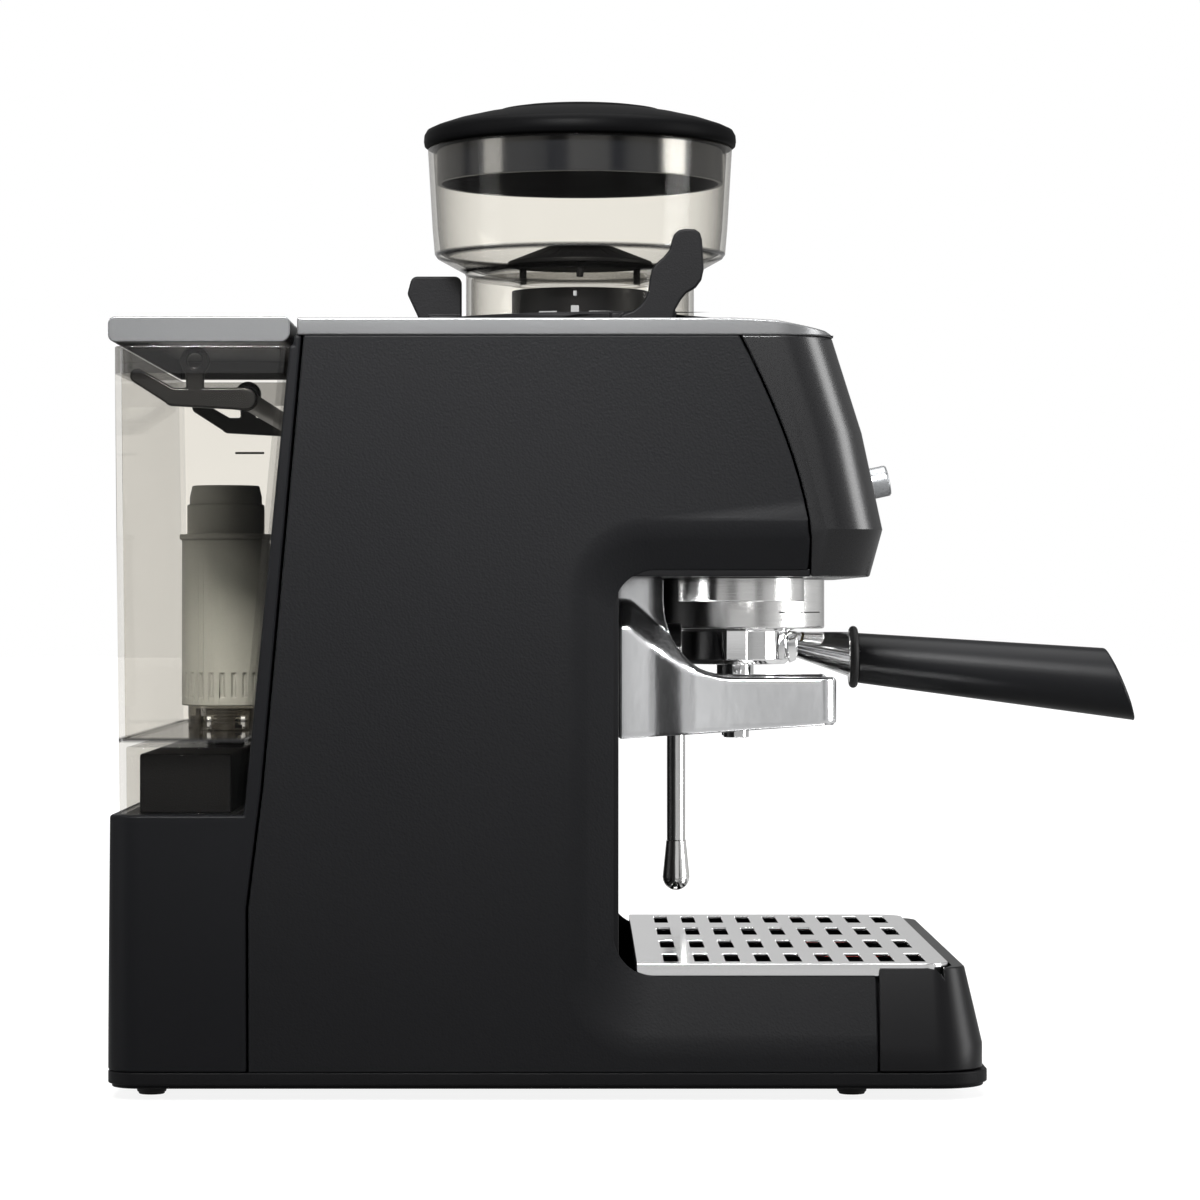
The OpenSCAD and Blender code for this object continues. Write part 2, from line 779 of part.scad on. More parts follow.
module gear_plan(extra) {
    hull() {
        translate([hopper_x, hopper_y]) circle(r = gear_module * gear_teeth / 2 + 3 + extra);
        translate([pinion_x, hopper_y]) circle(r = gear_module * pinion_teeth / 2 + 5 + extra);
    }
}

module gearbox() {
    color([0.5, 0.5, 0.52]) difference() {
        translate([0, 0, 226]) linear_extrude(18) gear_plan(3);
        translate([0, 0, 228]) linear_extrude(13) gear_plan(0);
        at_hopper() disc(shaft_r + 0.06, 225, 245);
        translate([pinion_x, hopper_y, 0]) disc(4.5, 225, 229);
    }
}

motor_r = 28;

module grinder_bracket() {
    color([0.6, 0.62, 0.6]) difference() {
        block(-130, 10, hopper_y - 48, hopper_y + 48, 222, 226);
        at_hopper() disc(shaft_r + 0.06, 221, 227);
        translate([pinion_x, hopper_y, 0]) disc(4.5, 221, 227);
    }
}

module motor_can() {
    color(steel) translate([pinion_x, hopper_y, 0]) difference() {
        disc(motor_r, 130, 222);
        disc(motor_r - 2.5, 133, 219);
        disc(2.06, 129, 223);
    }
}

module motor_rotor() {
    color([0.7, 0.45, 0.25]) translate([pinion_x, hopper_y, 0]) union() {
        disc(2, 126, gear_z[1]);
        disc(20, 140, 212);
        spur_gear(pinion_teeth, 0, gear_z[0], gear_z[1], 1.9);
    }
}

module outlet_collar() {
    color(steel) at_outlet() tube(outlet_r, 21, 200, head_floor_z);
}

cradle_top = 169.2;
cradle_foot = 143.8;
cradle_end = 77.7;
cradle_block_x = 7.6;

module cradle_outline() {
    sweep = [35, 200];
    steps = 12;
    offset(r = 2, $fn = 32) offset(delta = -2) polygon(concat(
        [[bay_x - 3, cradle_foot], [cradle_end, cradle_foot + 6.4], [cradle_end, cradle_top]],
        [for (i = [0:steps]) let (a = 90 - i * 90 / steps)
            [sweep.x - (sweep.x - cradle_block_x) * cos(a), sweep.y - (sweep.y - cradle_top) * sin(a)]],
        [[cradle_block_x, head_floor_z + 3], [bay_x - 3, head_floor_z + 3]]));
}

module portafilter_cradle() {
    slot_r = 27;
    color([0.8, 0.8, 0.82]) difference() {
        intersection() {
            slab(outlet_y - cradle_w / 2, outlet_y + cradle_w / 2) cradle_outline();
            linear_extrude(400) round_rect(bay_x - 60, cradle_end, outlet_y - cradle_w / 2,
                outlet_y + cradle_w / 2, 7);
            block(bay_x - 0.5, cradle_end + 1, -rim_y, rim_y, 0, head_floor_z);
        }
        at_outlet() disc(slot_r, cradle_foot - 5, 200);
        block(outlet_x, cradle_end + 1, outlet_y - slot_r, outlet_y + slot_r, cradle_foot - 5, 200);
        translate([column_x, outlet_y, switch_z]) rotate([0, 90, 0]) cylinder(r = switch_r + 0.3, h = 40);
    }
}

switch_z = 186;
switch_r = 5;

module grind_switch() {
    color([0.2, 0.2, 0.2]) translate([column_x - 6, outlet_y, switch_z]) rotate([0, 90, 0])
        cylinder(r = switch_r, h = cradle_block_x - column_x + 6 + 8);
}

// ---- brewing ----------------------------------------------------------------------------------

ledge_r = 30.2;

module group_ring() {
    color(steel) at_group() rotate_extrude() polygon([
        [ledge_r, group_z], [group_r - 0.6, group_z], [group_r, group_z + 0.6], [group_r, head_floor_z],
        [33, head_floor_z], [33, group_z + 2.2], [ledge_r, group_z + 2.2]]);
}

gasket_z = 199.6;
head_neck_r = 28;

module group_head() {
    color([0.7, 0.6, 0.35]) at_group() difference() {
        union() {
            disc(28.9, gasket_z, 204);
            disc(32.9, 204 - eps, head_floor_z);
            disc(head_neck_r, head_floor_z - eps, 236);
        }
        disc(24, gasket_z - 1, gasket_z + 2);
        disc(3, gasket_z, 237);
    }
}

module boiler() {
    color([0.75, 0.75, 0.75]) at_group() union() {
        disc(34, 236, 244);
        disc(30, 244 - eps, 284);
        disc(34, 284 - eps, 289);
        disc(5, 289 - eps, 298);
    }
}

module water_pump() {
    pump_y = 60;
    pump_z = 60;
    color([0.7, 0.3, 0.2]) union() {
        translate([-118, pump_y, pump_z]) rotate([0, 90, 0]) cylinder(r = 17, h = 40);
        translate([-78 - eps, pump_y, pump_z]) rotate([0, 90, 0]) cylinder(r = 9, h = 28);
        block(-112, -84, pump_y - 12, pump_y + 12, base_top + 2, pump_z - 16);
        translate([-50 - 2 * eps, pump_y, pump_z]) rotate([0, 90, 0]) cylinder(r = 4, h = 10);
    }
}

body_foot = 172.7;
rim_low = 190.8;

module portafilter() {
    color(chrome) at_group() union() {
        difference() {
            rotate_extrude() polygon([
                [0, body_foot], [bowl_out_r - 2, body_foot], [bowl_out_r, body_foot + 2],
                [bowl_out_r, group_z - 1], [29.2, group_z + 0.5], [29.2, 198.2], [26.8, 198.2],
                [26.8, 191], [22.6, 189], [22.6, 176], [0, 176]]);
            disc(3.5, body_foot - 1, 177);
        }
        for (a = [70, 250]) rotate([0, 0, a]) rotate_extrude(angle = 40)
            polygon([[29, rim_low], [32.6, rim_low], [32.6, rim_low + 3.5], [29, rim_low + 5]]);
        // Thumb lug that hangs below the ring on each side.
        for (s = [-1, 1]) translate([-5, s > 0 ? bowl_out_r - 1 : -bowl_out_r - 4, 174.8])
            cube([9, 5, 12.9]);
        tube(8.1, 3.5, body_foot - 5.7, body_foot + eps);
    }
}

module filter_basket() {
    color(steel) at_group() rotate_extrude() polygon([
        [0, 176.6], [22, 176.6], [22.3, 189.2], [26.4, 191.4], [26.4, 198.3], [29, 198.3], [29, 199.1],
        [25.7, 199.1], [25.7, 191.8], [21.6, 189.7], [21.3, 177.4], [0, 177.4]]);
}

spout_foot = 141;

module double_spout() {
    spread = 13;
    top = body_foot - 5.7;
    color(chrome) at_group() difference() {
        union() {
            disc(6.5, 154, top);
            for (s = [-1, 1]) hull() {
                disc(6.5, 154, 160);
                translate([0, s * spread, 0]) disc(5.5, 150, 154);
            }
            for (s = [-1, 1]) translate([0, s * spread, 0]) disc(5.5, spout_foot, 150 + eps);
        }
        disc(3.5, 158, top + 1);
        for (s = [-1, 1]) translate([0, s * spread, 0]) disc(3.6, spout_foot - 1, 152);
    }
}

ferrule_x = 91.4;
handle_z = 175.4;

module handle_neck() {
    color(chrome) difference() {
        union() {
            hull() {
                translate([group_x + 18, group_y, 180.4]) rotate([0, 90, 0]) cylinder(r = 7.6, h = 5);
                translate([68.2, group_y, 180.8]) rotate([0, 90, 0]) cylinder(r = 6.4, h = eps);
            }
            hull() {
                translate([67, group_y, 181.4]) rotate([0, 90, 0]) cylinder(r = 5.4, h = eps);
                translate([ferrule_x - eps, group_y, 177]) rotate([0, 90, 0]) cylinder(r = 9.8, h = eps);
            }
            translate([ferrule_x, group_y, handle_z + 0.4]) rotate([0, 90, 0]) cylinder(r = 12, h = 3.5);
        }
        at_group() disc(bowl_out_r + 0.02, 160, 210);
        at_group() disc(29.4, group_z - 1.1, 210);
    }
}

module portafilter_handle() {
    end_top = [203.5, 179.7];
    end_tip = [handle_end_x, 148.3];
    end_mid = (end_top + end_tip) / 2;
    end_r = norm(end_top - end_tip) / 2;
    lean = atan((end_tip.x - end_top.x) / (end_top.y - end_tip.y));
    color([0.14, 0.14, 0.14]) hull() {
        translate([ferrule_x + 3.5, group_y, handle_z]) rotate([0, 90, 0]) cylinder(r = 10.9, h = 0.5, $fn = 48);
        translate([end_mid.x, group_y, end_mid.y]) rotate([0, 90 - lean, 0])
            translate([0, 0, -0.5]) scale([1, 0.82, 1]) cylinder(r = end_r, h = 0.5, $fn = 48);
        translate([end_mid.x, group_y, end_mid.y]) rotate([0, 90 - lean, 0])
            scale([0.75, 0.62, 1]) cylinder(r = end_r, h = 0.8, $fn = 48);
    }
}

// ---- steam wand -------------------------------------------------------------------------------

ball_z = 200;
ball_r = 8;
wand_tip_z = 67.9;

module wand_nut() {
    color(steel) at_wand() difference() {
        union() {
            disc(13, 194, head_floor_z - 0.3);
            disc(4.5, head_floor_z - 0.3 - eps, head_floor_z + 12);
        }
        translate([0, 0, ball_z]) sphere(r = ball_r + 0.2);
        // Slot that lets the tube tilt towards the front.
        hull() {
            disc(6, 190, ball_z);
            translate([14, 0, 0]) disc(6, 190, ball_z - 2);
        }
    }
}

module steam_tube() {
    color(steel) at_wand() union() {
        translate([0, 0, ball_z]) sphere(r = ball_r);
        disc(wand_r, 90.8 - eps, ball_z);
        disc(6.4, 143, 176);
        rotate_extrude() polygon(concat([[0, 90.8], [4.5, 90.8], [6.2, 74]],
            [for (a = [0:15:90]) [6.2 * cos(a), 74 - (74 - wand_tip_z) * sin(a)]]));
    }
}

// ---- drip tray --------------------------------------------------------------------------------

tray_w = 133;
grate_x = [-3.7, 122.2];
grate_w = 136.5;
grate_corner_r = 12;
bin_corner_r = 14;
tray_front_low = 136.1;
tray_front_high = 128.8;
tray_top = 53;

module drip_tray() {
    wall = 2;
    end = 119.5;
    color(satin_black) union() {
        difference() {
            translate([0, 0, base_top + 1]) linear_extrude(grate_z - 1.8 - base_top - 1)
                nose_plan(-2, end, tray_w, bin_corner_r);
            translate([0, 0, base_top + 1 + wall]) linear_extrude(grate_z - base_top)
                nose_plan(-2 + wall, end - wall, tray_w - wall, bin_corner_r - wall);
        }
        difference() {
            hull() {
                translate([0, 0, base_top + 0.5]) linear_extrude(bay_outer_floor - base_top - 0.5)
                    nose_plan(tray_seam_x + seam_gap, tray_front_low, half_w, nose_r);
                translate([0, 0, tray_top - eps]) linear_extrude(eps)
                    nose_plan(tray_seam_x + seam_gap, tray_front_high, rim_y, tray_top_r);
            }
            block(0, end, -half_w + 7, half_w - 7, base_top, grate_z + 1);
            translate([0, 0, 45]) linear_extrude(grate_z - 44)
                nose_plan(0, grate_x[1] + 0.8, grate_w + 0.7, grate_corner_r + 0.7);
        }
        for (s = [-1, 1]) block(95, end, s > 0 ? tray_w - eps : -half_w + 7 - eps, s > 0 ? half_w - 7 + eps : -tray_w + eps,
            base_top + 1, 30);
        translate([float_x, float_y, 0]) disc(2.4, base_top + 2, 44);
    }
}

slot_x0 = 7.5;
slot_pitch = 12.5;
row_pitch = 70;

module drip_grate() {
    t = 1.5;
    lip = 5;
    rim = 1.2;
    color(chrome) difference() {
        translate([0, 0, grate_z - lip]) linear_extrude(lip)
            nose_plan(grate_x[0], grate_x[1], grate_w, grate_corner_r);
        translate([0, 0, grate_z - lip - 1]) linear_extrude(lip + 1 - t)
            nose_plan(grate_x[0] + rim, grate_x[1] - rim, grate_w - rim, grate_corner_r - rim);
        for (i = [0:slot_cols - 1], j = [0:slot_rows - 1])
            translate([slot_x0 + i * slot_pitch, (j - (slot_rows - 1) / 2) * row_pitch - slot_len / 2, grate_z - t - 1])
                cube([slot_w, slot_len, t + 2]);
    }
}

float_x = 86;
float_y = -92;

module tray_float() {
    color([0.8, 0.08, 0.05]) translate([float_x, float_y, 0]) difference() {
        union() {
            disc(13, 37, 41);
            disc(6, 41 - eps, 45);
        }
        disc(2.46, 36, 46);
    }
}

// ---- controls ---------------------------------------------------------------------------------

module control_dial() {
    color([0.35, 0.36, 0.37]) on_face(dial_y) union() {
        translate([0, 0, -10]) cylinder(r = 3, h = 10.6);
        translate([0, 0, 0.6 - eps]) cylinder(r = 6.5, h = 10.2);
        translate([0, 0, 9.6]) cylinder(r = 5.9, h = 1.8);
    }
}

module push_button(y) {
    color(steel) on_face(y) translate([0, 0, -4]) cylinder(r = button_r, h = 5.2);
}

module power_button() { push_button(button_ys[0]); }
module single_shot_button() { push_button(button_ys[1]); }
module double_shot_button() { push_button(button_ys[2]); }
module steam_button() { push_button(button_ys[3]); }

base_plate();
rubber_feet();
base_screws();
left_side_panel();
right_side_panel();
rear_housing();
front_fascia();
column_panel();
head_floor();
top_plate();
inner_chassis();
cord_inlet();
tank_plinth();
water_tank();
valve_body();
filter_holder();
filter_body();
valve_poppet();
valve_spring();
tank_handle();
tank_lid();
lid_hinge_pins();
hopper_bowl();
bean_guard();
hopper_lid();
grinder_collar();
grind_ring();
burr_carrier();
ring_burr();
cone_burr();
burr_shaft();
dose_impeller();
burr_gear();
grinder_housing();
gearbox();
grinder_bracket();
motor_can();
motor_rotor();
outlet_collar();
portafilter_cradle();
grind_switch();
group_ring();
group_head();
boiler();
water_pump();
portafilter();
filter_basket();
double_spout();
handle_neck();
portafilter_handle();
wand_nut();
steam_tube();
drip_tray();
drip_grate();
tray_float();
control_dial();
power_button();
single_shot_button();
double_shot_button();
steam_button();
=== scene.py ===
"""Looks of a home espresso machine with a built-in burr grinder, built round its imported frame.

Sizes are in millimetres until a piece is finished; the frame and every finished mesh are in metres.
+X is the machine's front, +Z is up and the user's left is -Y.
"""

import sys

import json
import logging
import math
from dataclasses import dataclass
from enum import Enum
from typing import Any, Callable, ClassVar, Iterable, Optional, Sequence, Union

import bmesh
import bpy
from mathutils import Matrix, Vector


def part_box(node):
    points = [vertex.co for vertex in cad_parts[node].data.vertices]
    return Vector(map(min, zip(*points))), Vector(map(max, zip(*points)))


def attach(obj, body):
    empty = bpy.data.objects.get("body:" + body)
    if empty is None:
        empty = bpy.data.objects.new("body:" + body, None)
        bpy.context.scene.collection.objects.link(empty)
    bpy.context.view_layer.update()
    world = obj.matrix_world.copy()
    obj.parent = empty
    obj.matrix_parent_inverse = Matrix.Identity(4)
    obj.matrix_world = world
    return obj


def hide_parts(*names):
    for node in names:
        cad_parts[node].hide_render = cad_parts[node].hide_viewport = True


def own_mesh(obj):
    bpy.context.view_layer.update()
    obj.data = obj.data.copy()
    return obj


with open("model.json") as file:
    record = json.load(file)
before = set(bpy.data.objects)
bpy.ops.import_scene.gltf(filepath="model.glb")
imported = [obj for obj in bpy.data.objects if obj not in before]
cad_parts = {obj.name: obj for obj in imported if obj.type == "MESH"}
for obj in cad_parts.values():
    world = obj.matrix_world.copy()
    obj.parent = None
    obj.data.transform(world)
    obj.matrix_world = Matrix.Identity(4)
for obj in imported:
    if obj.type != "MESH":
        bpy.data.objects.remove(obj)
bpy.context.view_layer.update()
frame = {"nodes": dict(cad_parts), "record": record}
LOG = logging.getLogger("espresso_machine")

MM = 0.001
CAD_MERGE = 0.003
CAD_FLAT = 0.4
OWN_MERGE = 0.0005
BODY_OF = {
    node: body
    for body, members in frame["record"]["behaviour"]["bodies"].items()
    for node in members
}

SLOT_OF = {part["node"]: part["material_slot"] for part in frame["record"]["subparts"]}

Colour = tuple[float, float, float]
Point = tuple[float, float, float]
Flat = tuple[float, float]
EdgeTest = Callable[[bmesh.types.BMEdge], bool]


# ---- shader kit ---------------------------------------------------------------------------------


class Value:
    """A number that varies over a surface, as a shader socket with ordinary arithmetic."""

    def __init__(self, tree: bpy.types.NodeTree, socket: bpy.types.NodeSocket) -> None:
        """Wraps a socket.

        Args:
            tree: The node tree that the socket belongs to.
            socket: The output socket that carries the number.
        """
        self.tree = tree
        self.socket = socket

    def maths(self, operation: str, *others: Union["Value", float], swap: bool = False) -> "Value":
        """Adds one Math node.

        Args:
            operation: The Math node's operation.
            others: The further operands, as values or plain numbers.
            swap: Whether this value comes second.

        Returns:
            The node's result.
        """
        node = self.tree.nodes.new("ShaderNodeMath")
        node.operation = operation
        operands = [self, *others]
        if swap:
            operands.reverse()
        for socket, operand in zip(node.inputs, operands):
            if isinstance(operand, Value):
                self.tree.links.new(operand.socket, socket)
            else:
                socket.default_value = operand
        return Value(self.tree, node.outputs[0])

    def __add__(self, other: Union["Value", float]) -> "Value":
        """Sum."""
        return self.maths("ADD", other)

    __radd__ = __add__

    def __sub__(self, other: Union["Value", float]) -> "Value":
        """Difference."""
        return self.maths("SUBTRACT", other)

    def __rsub__(self, other: float) -> "Value":
        """Difference from a plain number."""
        return self.maths("SUBTRACT", other, swap=True)

    def __mul__(self, other: Union["Value", float]) -> "Value":
        """Product."""
        return self.maths("MULTIPLY", other)

    __rmul__ = __mul__

    def __pow__(self, power: float) -> "Value":
        """Power."""
        return self.maths("POWER", power)

    def at_least(self, floor: float) -> "Value":
        """The larger of this value and a plain number."""
        return self.maths("MAXIMUM", floor)

    def at_most(self, ceiling: float) -> "Value":
        """The smaller of this value and a plain number."""
        return self.maths("MINIMUM", ceiling)


SocketValue = Union[Value, bpy.types.NodeSocket, float, Sequence[float]]


class NodeBoard:
    """The nodes of one material, or of the surround, while they are laid out."""

    def __init__(self, name: str, world: Optional[bpy.types.World] = None) -> None:
        """Starts an empty material or surround.

        Args:
            name: The material's name.
            world: The surround to lay out instead of a material.
        """
        self.material = None if world else bpy.data.materials.new(name)
        owner = world or self.material
        owner.use_nodes = True
        self.tree = owner.node_tree
        self.tree.nodes.clear()

    def node(
        self,
        kind: str,
        settings: Optional[dict[str, Any]] = None,
        sockets: Optional[dict[Union[str, int], SocketValue]] = None,
    ) -> bpy.types.Node:
        """Adds any node.

        Args:
            kind: The node's type name.
            settings: The node's own settings, set before its sockets.
            sockets: Values or links for its input sockets, by name or place.

        Returns:
            The new node.
        """
        made = self.tree.nodes.new(kind)
        for key, setting in (settings or {}).items():
            if key == "stops":
                ramp = made.color_ramp.elements
                for _ in range(len(setting) - len(ramp)):
                    ramp.new(0.5)
                for element, (place, grey) in zip(ramp, setting):
                    element.position = place
                    element.color = (grey, grey, grey, 1.0)
            else:
                setattr(made, key, setting)
        for key, given in (sockets or {}).items():
            if isinstance(given, Value):
                given = given.socket
            if isinstance(given, bpy.types.NodeSocket):
                self.tree.links.new(given, made.inputs[key])
            else:
                made.inputs[key].default_value = given
        return made

    def place(self, stretch: Point = (1.0, 1.0, 1.0)) -> bpy.types.NodeSocket:
        """Object coordinates.

        Args:
            stretch: Scale along each axis.

        Returns:
            The vector socket.
        """
        source = self.node("ShaderNodeTexCoord").outputs["Object"]
        mapping = self.node("ShaderNodeMapping", sockets={"Vector": source, "Scale": stretch})
        return mapping.outputs["Vector"]

    def noise(
        self,
        scale: float,
        detail: float = 3.0,
        roughness: float = 0.5,
        vector: Optional[bpy.types.NodeSocket] = None,
    ) -> Value:
        """Soft noise between about 0.3 and 0.7.

        Args:
            scale: Cells per metre.
            detail: Octaves.
            roughness: Strength of the finer octaves.
            vector: Coordinates, or None for plain object coordinates.

        Returns:
            The noise.
        """
        made = self.node(
            "ShaderNodeTexNoise",
            sockets={
                "Vector": vector or self.place(),
                "Scale": scale,
                "Detail": detail,
                "Roughness": roughness,
            },
        )
        return Value(self.tree, made.outputs["Fac"])

    def cells(self, scale: float) -> Value:
        """Distance to the nearest of many scattered points.

        Args:
            scale: Points per metre.

        Returns:
            The distance, 0 at each point.
        """
        made = self.node(
            "ShaderNodeTexVoronoi",
            {"feature": "SMOOTH_F1"},
            {"Vector": self.place(), "Scale": scale},
        )
        return Value(self.tree, made.outputs["Distance"])

    def facing(self) -> Value:
        """0 where the surface faces the eye and 1 at its edge."""
        made = self.node("ShaderNodeLayerWeight", sockets={"Blend": 0.5})
        return Value(self.tree, made.outputs["Facing"])

    def tint(self, amount: Value, low: Colour, high: Colour) -> bpy.types.NodeSocket:
        """A colour between two.

        Args:
            amount: 0 for the first colour, 1 for the second.
            low: First colour.
            high: Second colour.

        Returns:
            The colour socket.
        """
        made = self.node(
            "ShaderNodeMix",
            {"data_type": "RGBA"},
            {"Factor": amount, 6: (*low, 1.0), 7: (*high, 1.0)},
        )
        return made.outputs[2]

    def relief(self, height: Value, depth: float) -> bpy.types.NodeSocket:
        """A bump from a height.

        Args:
            height: Height from 0 to 1.
            depth: Depth of the full height, in metres.

        Returns:
            The normal socket.
        """
        made = self.node("ShaderNodeBump", sockets={"Height": height, "Distance": depth})
        return made.outputs["Normal"]

    def surface(self, sockets: dict[str, SocketValue]) -> bpy.types.Material:
        """Finishes the material with a Principled shader.

        Args:
            sockets: The shader's sockets.

        Returns:
            The finished material.
        """
        shader = self.node("ShaderNodeBsdfPrincipled", sockets=sockets)
        self.node("ShaderNodeOutputMaterial", sockets={"Surface": shader.outputs[0]})
        return self.material


def shade(colour: Colour, factor: float) -> Colour:
    """The colour made lighter or darker by a factor."""
    return tuple(min(1.0, part * factor) for part in colour)  # type: ignore[return-value]


# ---- finishes -----------------------------------------------------------------------------------


@dataclass(frozen=True)
class Finish:
    """A surface finish. A finish is made once and shared by the pieces that wear it."""

    name: str
    slot: str
    colour: Colour

    made: ClassVar[dict[str, bpy.types.Material]] = {}

    def material(self) -> bpy.types.Material:
        """Lays the material out on first use.

        Returns:
            The one material that every piece in this finish wears.
        """
        if self.name not in Finish.made:
            Finish.made[self.name] = self.lay_out(NodeBoard(self.name))
        return Finish.made[self.name]

    def lay_out(self, board: NodeBoard) -> bpy.types.Material:
        """Lays out the nodes on an empty board."""
        raise NotImplementedError


@dataclass(frozen=True)
class Moulded(Finish):
    """Moulded plastic: fine grain, slight colour mottling and uneven sheen."""

    rough: float = 0.5
    specular: float = 0.4
    grain: float = 1100.0
    grain_depth: float = 0.00006

    def lay_out(self, board: NodeBoard) -> bpy.types.Material:
        """Lays out grain from cells and noise, with broad patches of sheen.

        Args:
            board: An empty board.

        Returns:
            The finished material.
        """
        broad = board.noise(9.0, 2.0)
        fine = board.noise(self.grain * 0.6, 4.0, 0.6)
        skin = board.cells(self.grain) * 0.7 + fine * 0.6
        return board.surface(
            {
                "Base Color": board.tint(
                    fine * 0.7 + broad * 0.3, shade(self.colour, 0.8), shade(self.colour, 1.25)
                ),
                "Roughness": (broad - 0.5) * 0.12 + (fine - 0.5) * 0.1 + self.rough,
                "Normal": board.relief(skin, self.grain_depth),
                "Specular IOR Level": self.specular,
            }
        )


@dataclass(frozen=True)
class Painted(Finish):
    """Satin metallic paint with fine flecks."""

    rough: float = 0.36
    metal: float = 0.65

    def lay_out(self, board: NodeBoard) -> bpy.types.Material:
        """Lays out flecks and a faint orange peel.

        Args:
            board: An empty board.

        Returns:
            The finished material.
        """
        fleck = board.noise(4200.0, 2.0, 0.7)
        broad = board.noise(14.0, 2.0)
        return board.surface(
            {
                "Base Color": board.tint(fleck, shade(self.colour, 0.86), shade(self.colour, 1.14)),
                "Roughness": (fleck - 0.5) * 0.2 + (broad - 0.5) * 0.06 + self.rough,
                "Metallic": self.metal,
                "Normal": board.relief(board.noise(900.0, 2.0), 0.00002),
                "Specular IOR Level": 0.5,
            }
        )


class Grain(Enum):
    """Direction of the brush marks on metal."""

    AROUND = (1.0, 1.0, 40.0)
    UPRIGHT = (40.0, 40.0, 1.0)
    ACROSS = (40.0, 1.0, 40.0)


@dataclass(frozen=True)
class Metal(Finish):
    """Bare metal, brushed or polished."""

    rough: float = 0.2
    brush: Grain = Grain.AROUND
    brush_depth: float = 0.00001
    smudge: float = 0.06

    def lay_out(self, board: NodeBoard) -> bpy.types.Material:
        """Lays out long brush marks and faint smudges.

        Args:
            board: An empty board.

        Returns:
            The finished material.
        """
        marks = board.noise(60.0, 3.0, 0.6, board.place(self.brush.value))
        smudges = board.noise(35.0, 3.0)
        uneven = (marks - 0.5) * self.smudge + (smudges - 0.5) * self.smudge
        return board.surface(
            {
                "Base Color": board.tint(marks, shade(self.colour, 0.9), shade(self.colour, 1.08)),
                "Roughness": (uneven + self.rough).at_least(0.02),
                "Metallic": 1.0,
                "Normal": board.relief(marks, self.brush_depth),
            }
        )


@dataclass(frozen=True)
class Cast(Finish):
    """Polished casting: bright, with the soft waviness that hand polishing leaves."""

    rough: float = 0.22

    def lay_out(self, board: NodeBoard) -> bpy.types.Material:
        """Lays out broad waves under a fine satin.

        Args:
            board: An empty board.

        Returns:
            The finished material.
        """
        waves = board.noise(26.0, 2.0, 0.5, board.place((1.0, 1.0, 0.35)))
        satin = board.noise(700.0, 3.0, 0.6, board.place((1.0, 1.0, 0.25)))
        return board.surface(
            {
                "Base Color": board.tint(waves, shade(self.colour, 0.9), shade(self.colour, 1.06)),
                "Roughness": (satin - 0.5) * 0.12 + (waves - 0.5) * 0.14 + self.rough,
                "Metallic": 1.0,
                "Normal": board.relief(waves * 0.9 + satin * 0.02, 0.0012),
            }
        )


@dataclass(frozen=True)
class Smoked(Finish):
    """Smoke-tinted clear plastic: light passes with a tint, and the wall darkens where it turns away.

    The share of light that the wall stops runs from face to edge. It rises by joint_share within
    joint_reach of each height in joints, and by band_share above dark_above. Heights are in metres.
    """

    clear: Colour = (0.995, 0.985, 0.96)
    face: float = 0.05
    edge: float = 0.8
    rough: float = 0.06
    falloff: float = 2.8
    joints: tuple[float, ...] = ()
    joint_share: float = 0.8
    joint_reach: float = 0.00125
    dark_above: float = 10.0
    band_share: float = 0.34
    band_slope: float = 700.0

    def lay_out(self, board: NodeBoard) -> bpy.types.Material:
        """Lays out a glossy skin over a tinted clear wall.

        Args:
            board: An empty board.

        Returns:
            The finished material.
        """
        turn = board.facing() ** self.falloff
        split = board.node("ShaderNodeSeparateXYZ", sockets={0: board.place()})
        height = Value(board.tree, split.outputs["Z"])
        haze = board.noise(18.0, 2.0)
        skin = board.node(
            "ShaderNodeBsdfPrincipled",
            sockets={
                "Base Color": board.tint(turn, self.colour, shade(self.colour, 0.45)),
                "Roughness": (haze - 0.5) * 0.03 + self.rough,
                "Specular IOR Level": 0.8,
            },
        )
        wall = board.node("ShaderNodeBsdfTransparent", sockets={"Color": (*self.clear, 1.0)})
        cover = turn * (self.edge - self.face) + (haze - 0.5) * 0.02 + self.face
        above = (height - self.dark_above) * self.band_slope
        cover = cover + above.at_least(0.0).at_most(self.band_share)
        for level in self.joints:
            near = (height - level).maths("ABSOLUTE") * (-1.0 / self.joint_reach) + 1.0
            cover = cover + near.at_least(0.0) * self.joint_share
        both = board.node(
            "ShaderNodeMixShader",
            sockets={0: cover.at_most(1.0).at_least(0.0), 1: wall.outputs[0], 2: skin.outputs[0]},
        )
        board.node("ShaderNodeOutputMaterial", sockets={"Surface": both.outputs[0]})
        return board.material


BLACK = (0.003, 0.003, 0.0033)
SHEEN = 0.06
SMOOTH = 2600.0
HOPPER_CREASES = (0.3389, 0.3462)
TANK_FLOOR = 0.1444
TANK_BAND = 0.2912

